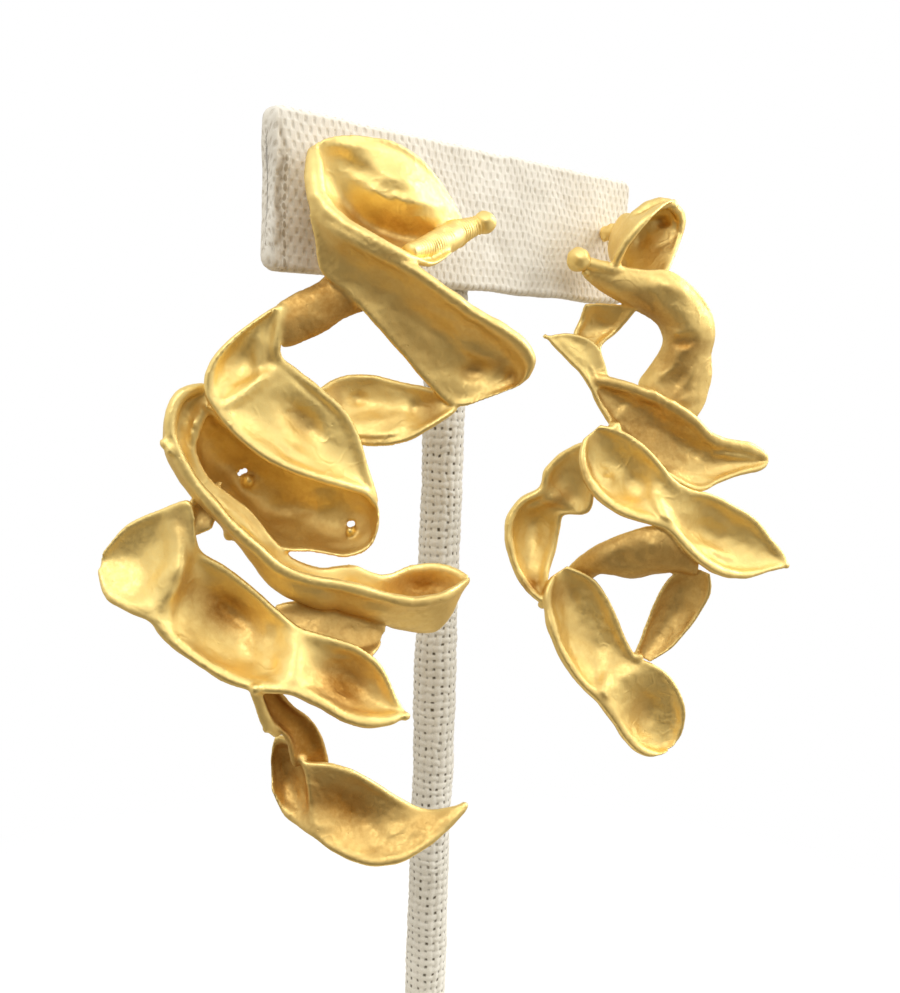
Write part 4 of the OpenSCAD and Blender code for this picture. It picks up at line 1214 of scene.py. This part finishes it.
def upright():
    """The upright as rings up from its socket, flat where the crossbar's back lies against it."""
    threads, steps = 16, 6
    n = threads * steps
    gap, top = 0.05, 163
    pitch = 2 * math.pi * UPRIGHT_R / threads
    base = SOCKET_FLOOR + gap
    z = np.concatenate([[base] * 3, np.arange(base + 0.2, top - 0.1, pitch / steps), [top] * 3])
    shrink = np.concatenate([[0.1, 0.6, 0.95], np.ones(len(z) - 6), [0.95, 0.6, 0.1]])
    w = np.linspace(0, 2 * math.pi, n + 1)[None]
    r = (UPRIGHT_R - gap) * shrink[:, None]
    x, y = r * np.cos(w), r * np.sin(w)
    y = np.where(z[:, None] > STAND_H - BAR_H - 0.1, np.maximum(y, BAR_BACK + gap), y)
    points = np.stack([x, y, np.repeat(z[:, None], n + 1, axis=1)], axis=-1)[:, :n]
    warp = np.repeat(w * threads / (2 * math.pi), len(z), axis=0)
    weft = np.repeat((z[:, None] - base - 0.2) / pitch, n + 1, axis=1)
    dressed("upright_linen", "stand_post", points, np.stack([warp, weft], axis=-1), OPEN, 0.27, 21)


def foot():
    """The foot as rings out of its socket, over its top, down its side and in below."""
    n, pitch = 300, 0.9
    socket_r, socket_edge, top_edge, bottom_edge = UPRIGHT_R + 0.1, 0.4, 0.8, 0.3
    top_r = socket_r + socket_edge
    outline = rounded(FOOT_W, FOOT_D, FOOT_ROUND, n)
    w = np.arctan2(outline[:, 1], outline[:, 0])
    socket = np.stack([np.cos(w), np.sin(w)], axis=-1)
    outward = unit(outline)
    rows, threads = [], []

    def ring(share, z, grow, inner, reach):
        """A ring between a circle round the upright and the outline, and how far its cloth reaches."""
        hub = socket * inner
        hub[:, 1] -= FOOT_SHIFT
        p = hub * (1 - share) + (outline + outward * grow) * share
        rows.append(np.column_stack([p[:, 0], p[:, 1] + FOOT_SHIFT, np.full(n + 1, z)])[:n])
        threads.append((p + outward * reach) / pitch)

    for inner, z in ((0.1, SOCKET_FLOOR), (1.5, SOCKET_FLOOR), (3.3, SOCKET_FLOOR),
                     (socket_r, 1.8), (socket_r, 3), (socket_r, 4.4)):
        ring(0, z, 0, inner, z - FOOT_T)
    for t in np.linspace(0, math.pi / 2, 4):
        ring(0, FOOT_T - socket_edge * (1 - math.sin(t)), 0, socket_r + socket_edge * (1 - math.cos(t)), 0)
    for share in np.linspace(0.02, 1, 90):
        ring(share, FOOT_T, -top_edge, top_r, 0)
    for t in np.linspace(0, math.pi / 2, 6)[1:]:
        ring(1, FOOT_T - top_edge * (1 - math.cos(t)), -top_edge * (1 - math.sin(t)), top_r, top_edge * t)
    for z in np.linspace(3.8, 0.6, 8):
        ring(1, z, 0, top_r, FOOT_T - z)
    for t in np.linspace(0, math.pi / 2, 4)[1:]:
        ring(1, bottom_edge * (1 - math.sin(t)), -bottom_edge * (1 - math.cos(t)), top_r, FOOT_T)
    for share in np.linspace(0.95, 0.02, 30):
        ring(share, 0, -bottom_edge, 0.5, FOOT_T)
    points = np.array(rows)
    dressed("foot_linen", "stand_foot", points, np.array(threads), CLOSE, 0.0, 31,
            smoothstep(points[..., 2], 0, 1))


earring(LEFT)
earring(RIGHT)
crossbar()
upright()
foot()
for name in ("left_ear_post", "right_ear_post", "left_ear_nut", "right_ear_nut"):
    mesh = frame["nodes"][name].data
    mesh.materials.clear()
    mesh.materials.append(WIRE)


# Stage, in metres
def floor():
    """A floor that turns white all round the stand."""
    bm = bmesh.new()
    bmesh.ops.create_circle(bm, cap_ends=True, segments=64, radius=3)
    piece = meshed("floor", bm)
    m, tree, shader = material("floor")
    feed(shader, {"Base Color": (0.93, 0.93, 0.93, 1), "Roughness": 0.9})
    glow = node(tree, "Emission", {"Color": (1, 1, 1, 1), "Strength": 1.0})
    place = node(tree, "TexCoord", output="Object")
    far = node(tree, "VectorMath", {0: place}, "Value", operation="LENGTH")
    mix = node(tree, "MixShader", {0: ramp(far, 0.06, 0.17), 1: Value(shader.outputs[0]), 2: glow})
    feed(tree.nodes["Material Output"], {0: mix})
    piece.data.materials.append(m)
    piece.visible_glossy = False
    piece.visible_diffuse = False


def lobe(way, centre, power, strength):
    """A soft patch of light in the world."""
    dot = node(way.tree, "VectorMath", {0: way, 1: Vector(centre).normalized()}, "Value",
               operation="DOT_PRODUCT")
    return maths("POWER", maths("MAXIMUM", dot, 0.0), power) * strength


def world():
    """Soft light from all round, brighter above, behind a plain white ground."""
    w = bpy.data.worlds.new("studio")
    bpy.context.scene.world = w
    w.use_nodes = True
    tree = w.node_tree
    way = node(tree, "TexCoord", output="Generated")
    level = ramp(node(tree, "SeparateXYZ", {0: way}, 2), -0.8, 0.5, 0.48, 0.92)
    for centre, power, strength in (
            ((-0.68, -0.73, -0.2), 3.0, -0.55),
            ((0.6, -0.55, 0.57), 4.0, 0.5),
            ((-0.7, 0.1, 0.7), 4.0, 0.3),
            ((0, 0, 1), 6.0, -0.3)):
        level = level + lobe(way, centre, power, strength)
    tint = mixed(ramp(level, 0.3, 1.0), (1, 0.84, 0.62, 1), (1, 0.99, 0.96, 1))
    graded = node(tree, "Background", {"Color": tint, "Strength": level})
    plain = node(tree, "Background", {"Color": (1, 1, 1, 1), "Strength": 1.0})
    for_camera = node(tree, "LightPath", output="Is Camera Ray")
    feed(tree.nodes["World Output"], {0: node(tree, "MixShader", {0: for_camera, 1: graded, 2: plain})})


def light(name, place, size, watts):
    """A round lamp that shines on the middle of the earrings."""
    data = bpy.data.lights.new(name, "AREA")
    data.shape = "DISK"
    data.size = size
    data.energy = watts
    lamp = linked(name, data)
    lamp.location = place
    way = Vector((0, 0, 0.11)) - Vector(place)
    lamp.rotation_euler = way.to_track_quat("-Z", "Y").to_euler()
    lamp.visible_camera = False


def camera():
    """The camera at the eye, pitched down and rolled a little."""
    ahead = Vector(AWAY * math.cos(EYE_PITCH) - UP * math.sin(EYE_PITCH))
    right = Vector(ACROSS)
    up = right.cross(ahead)
    side = right * math.cos(EYE_ROLL) + up * math.sin(EYE_ROLL)
    top = up * math.cos(EYE_ROLL) - right * math.sin(EYE_ROLL)
    data = bpy.data.cameras.new("camera")
    data.sensor_width = SENSOR
    data.lens = SENSOR * FOCUS / PICTURE_H
    data.clip_start = 0.005
    cam = linked("camera", data)
    turn = Matrix((side, top, -ahead)).transposed()
    cam.matrix_world = Matrix.Translation(Vector(EYE * METRE)) @ turn.to_4x4()
    bpy.context.scene.camera = cam


floor()
world()
light("key", (-0.5, -0.5, 0.75), 0.5, 2.6)
light("side", (0.5, -0.3, 0.45), 0.4, 2.2)
camera()
bpy.context.scene.view_settings.view_transform = "Standard"
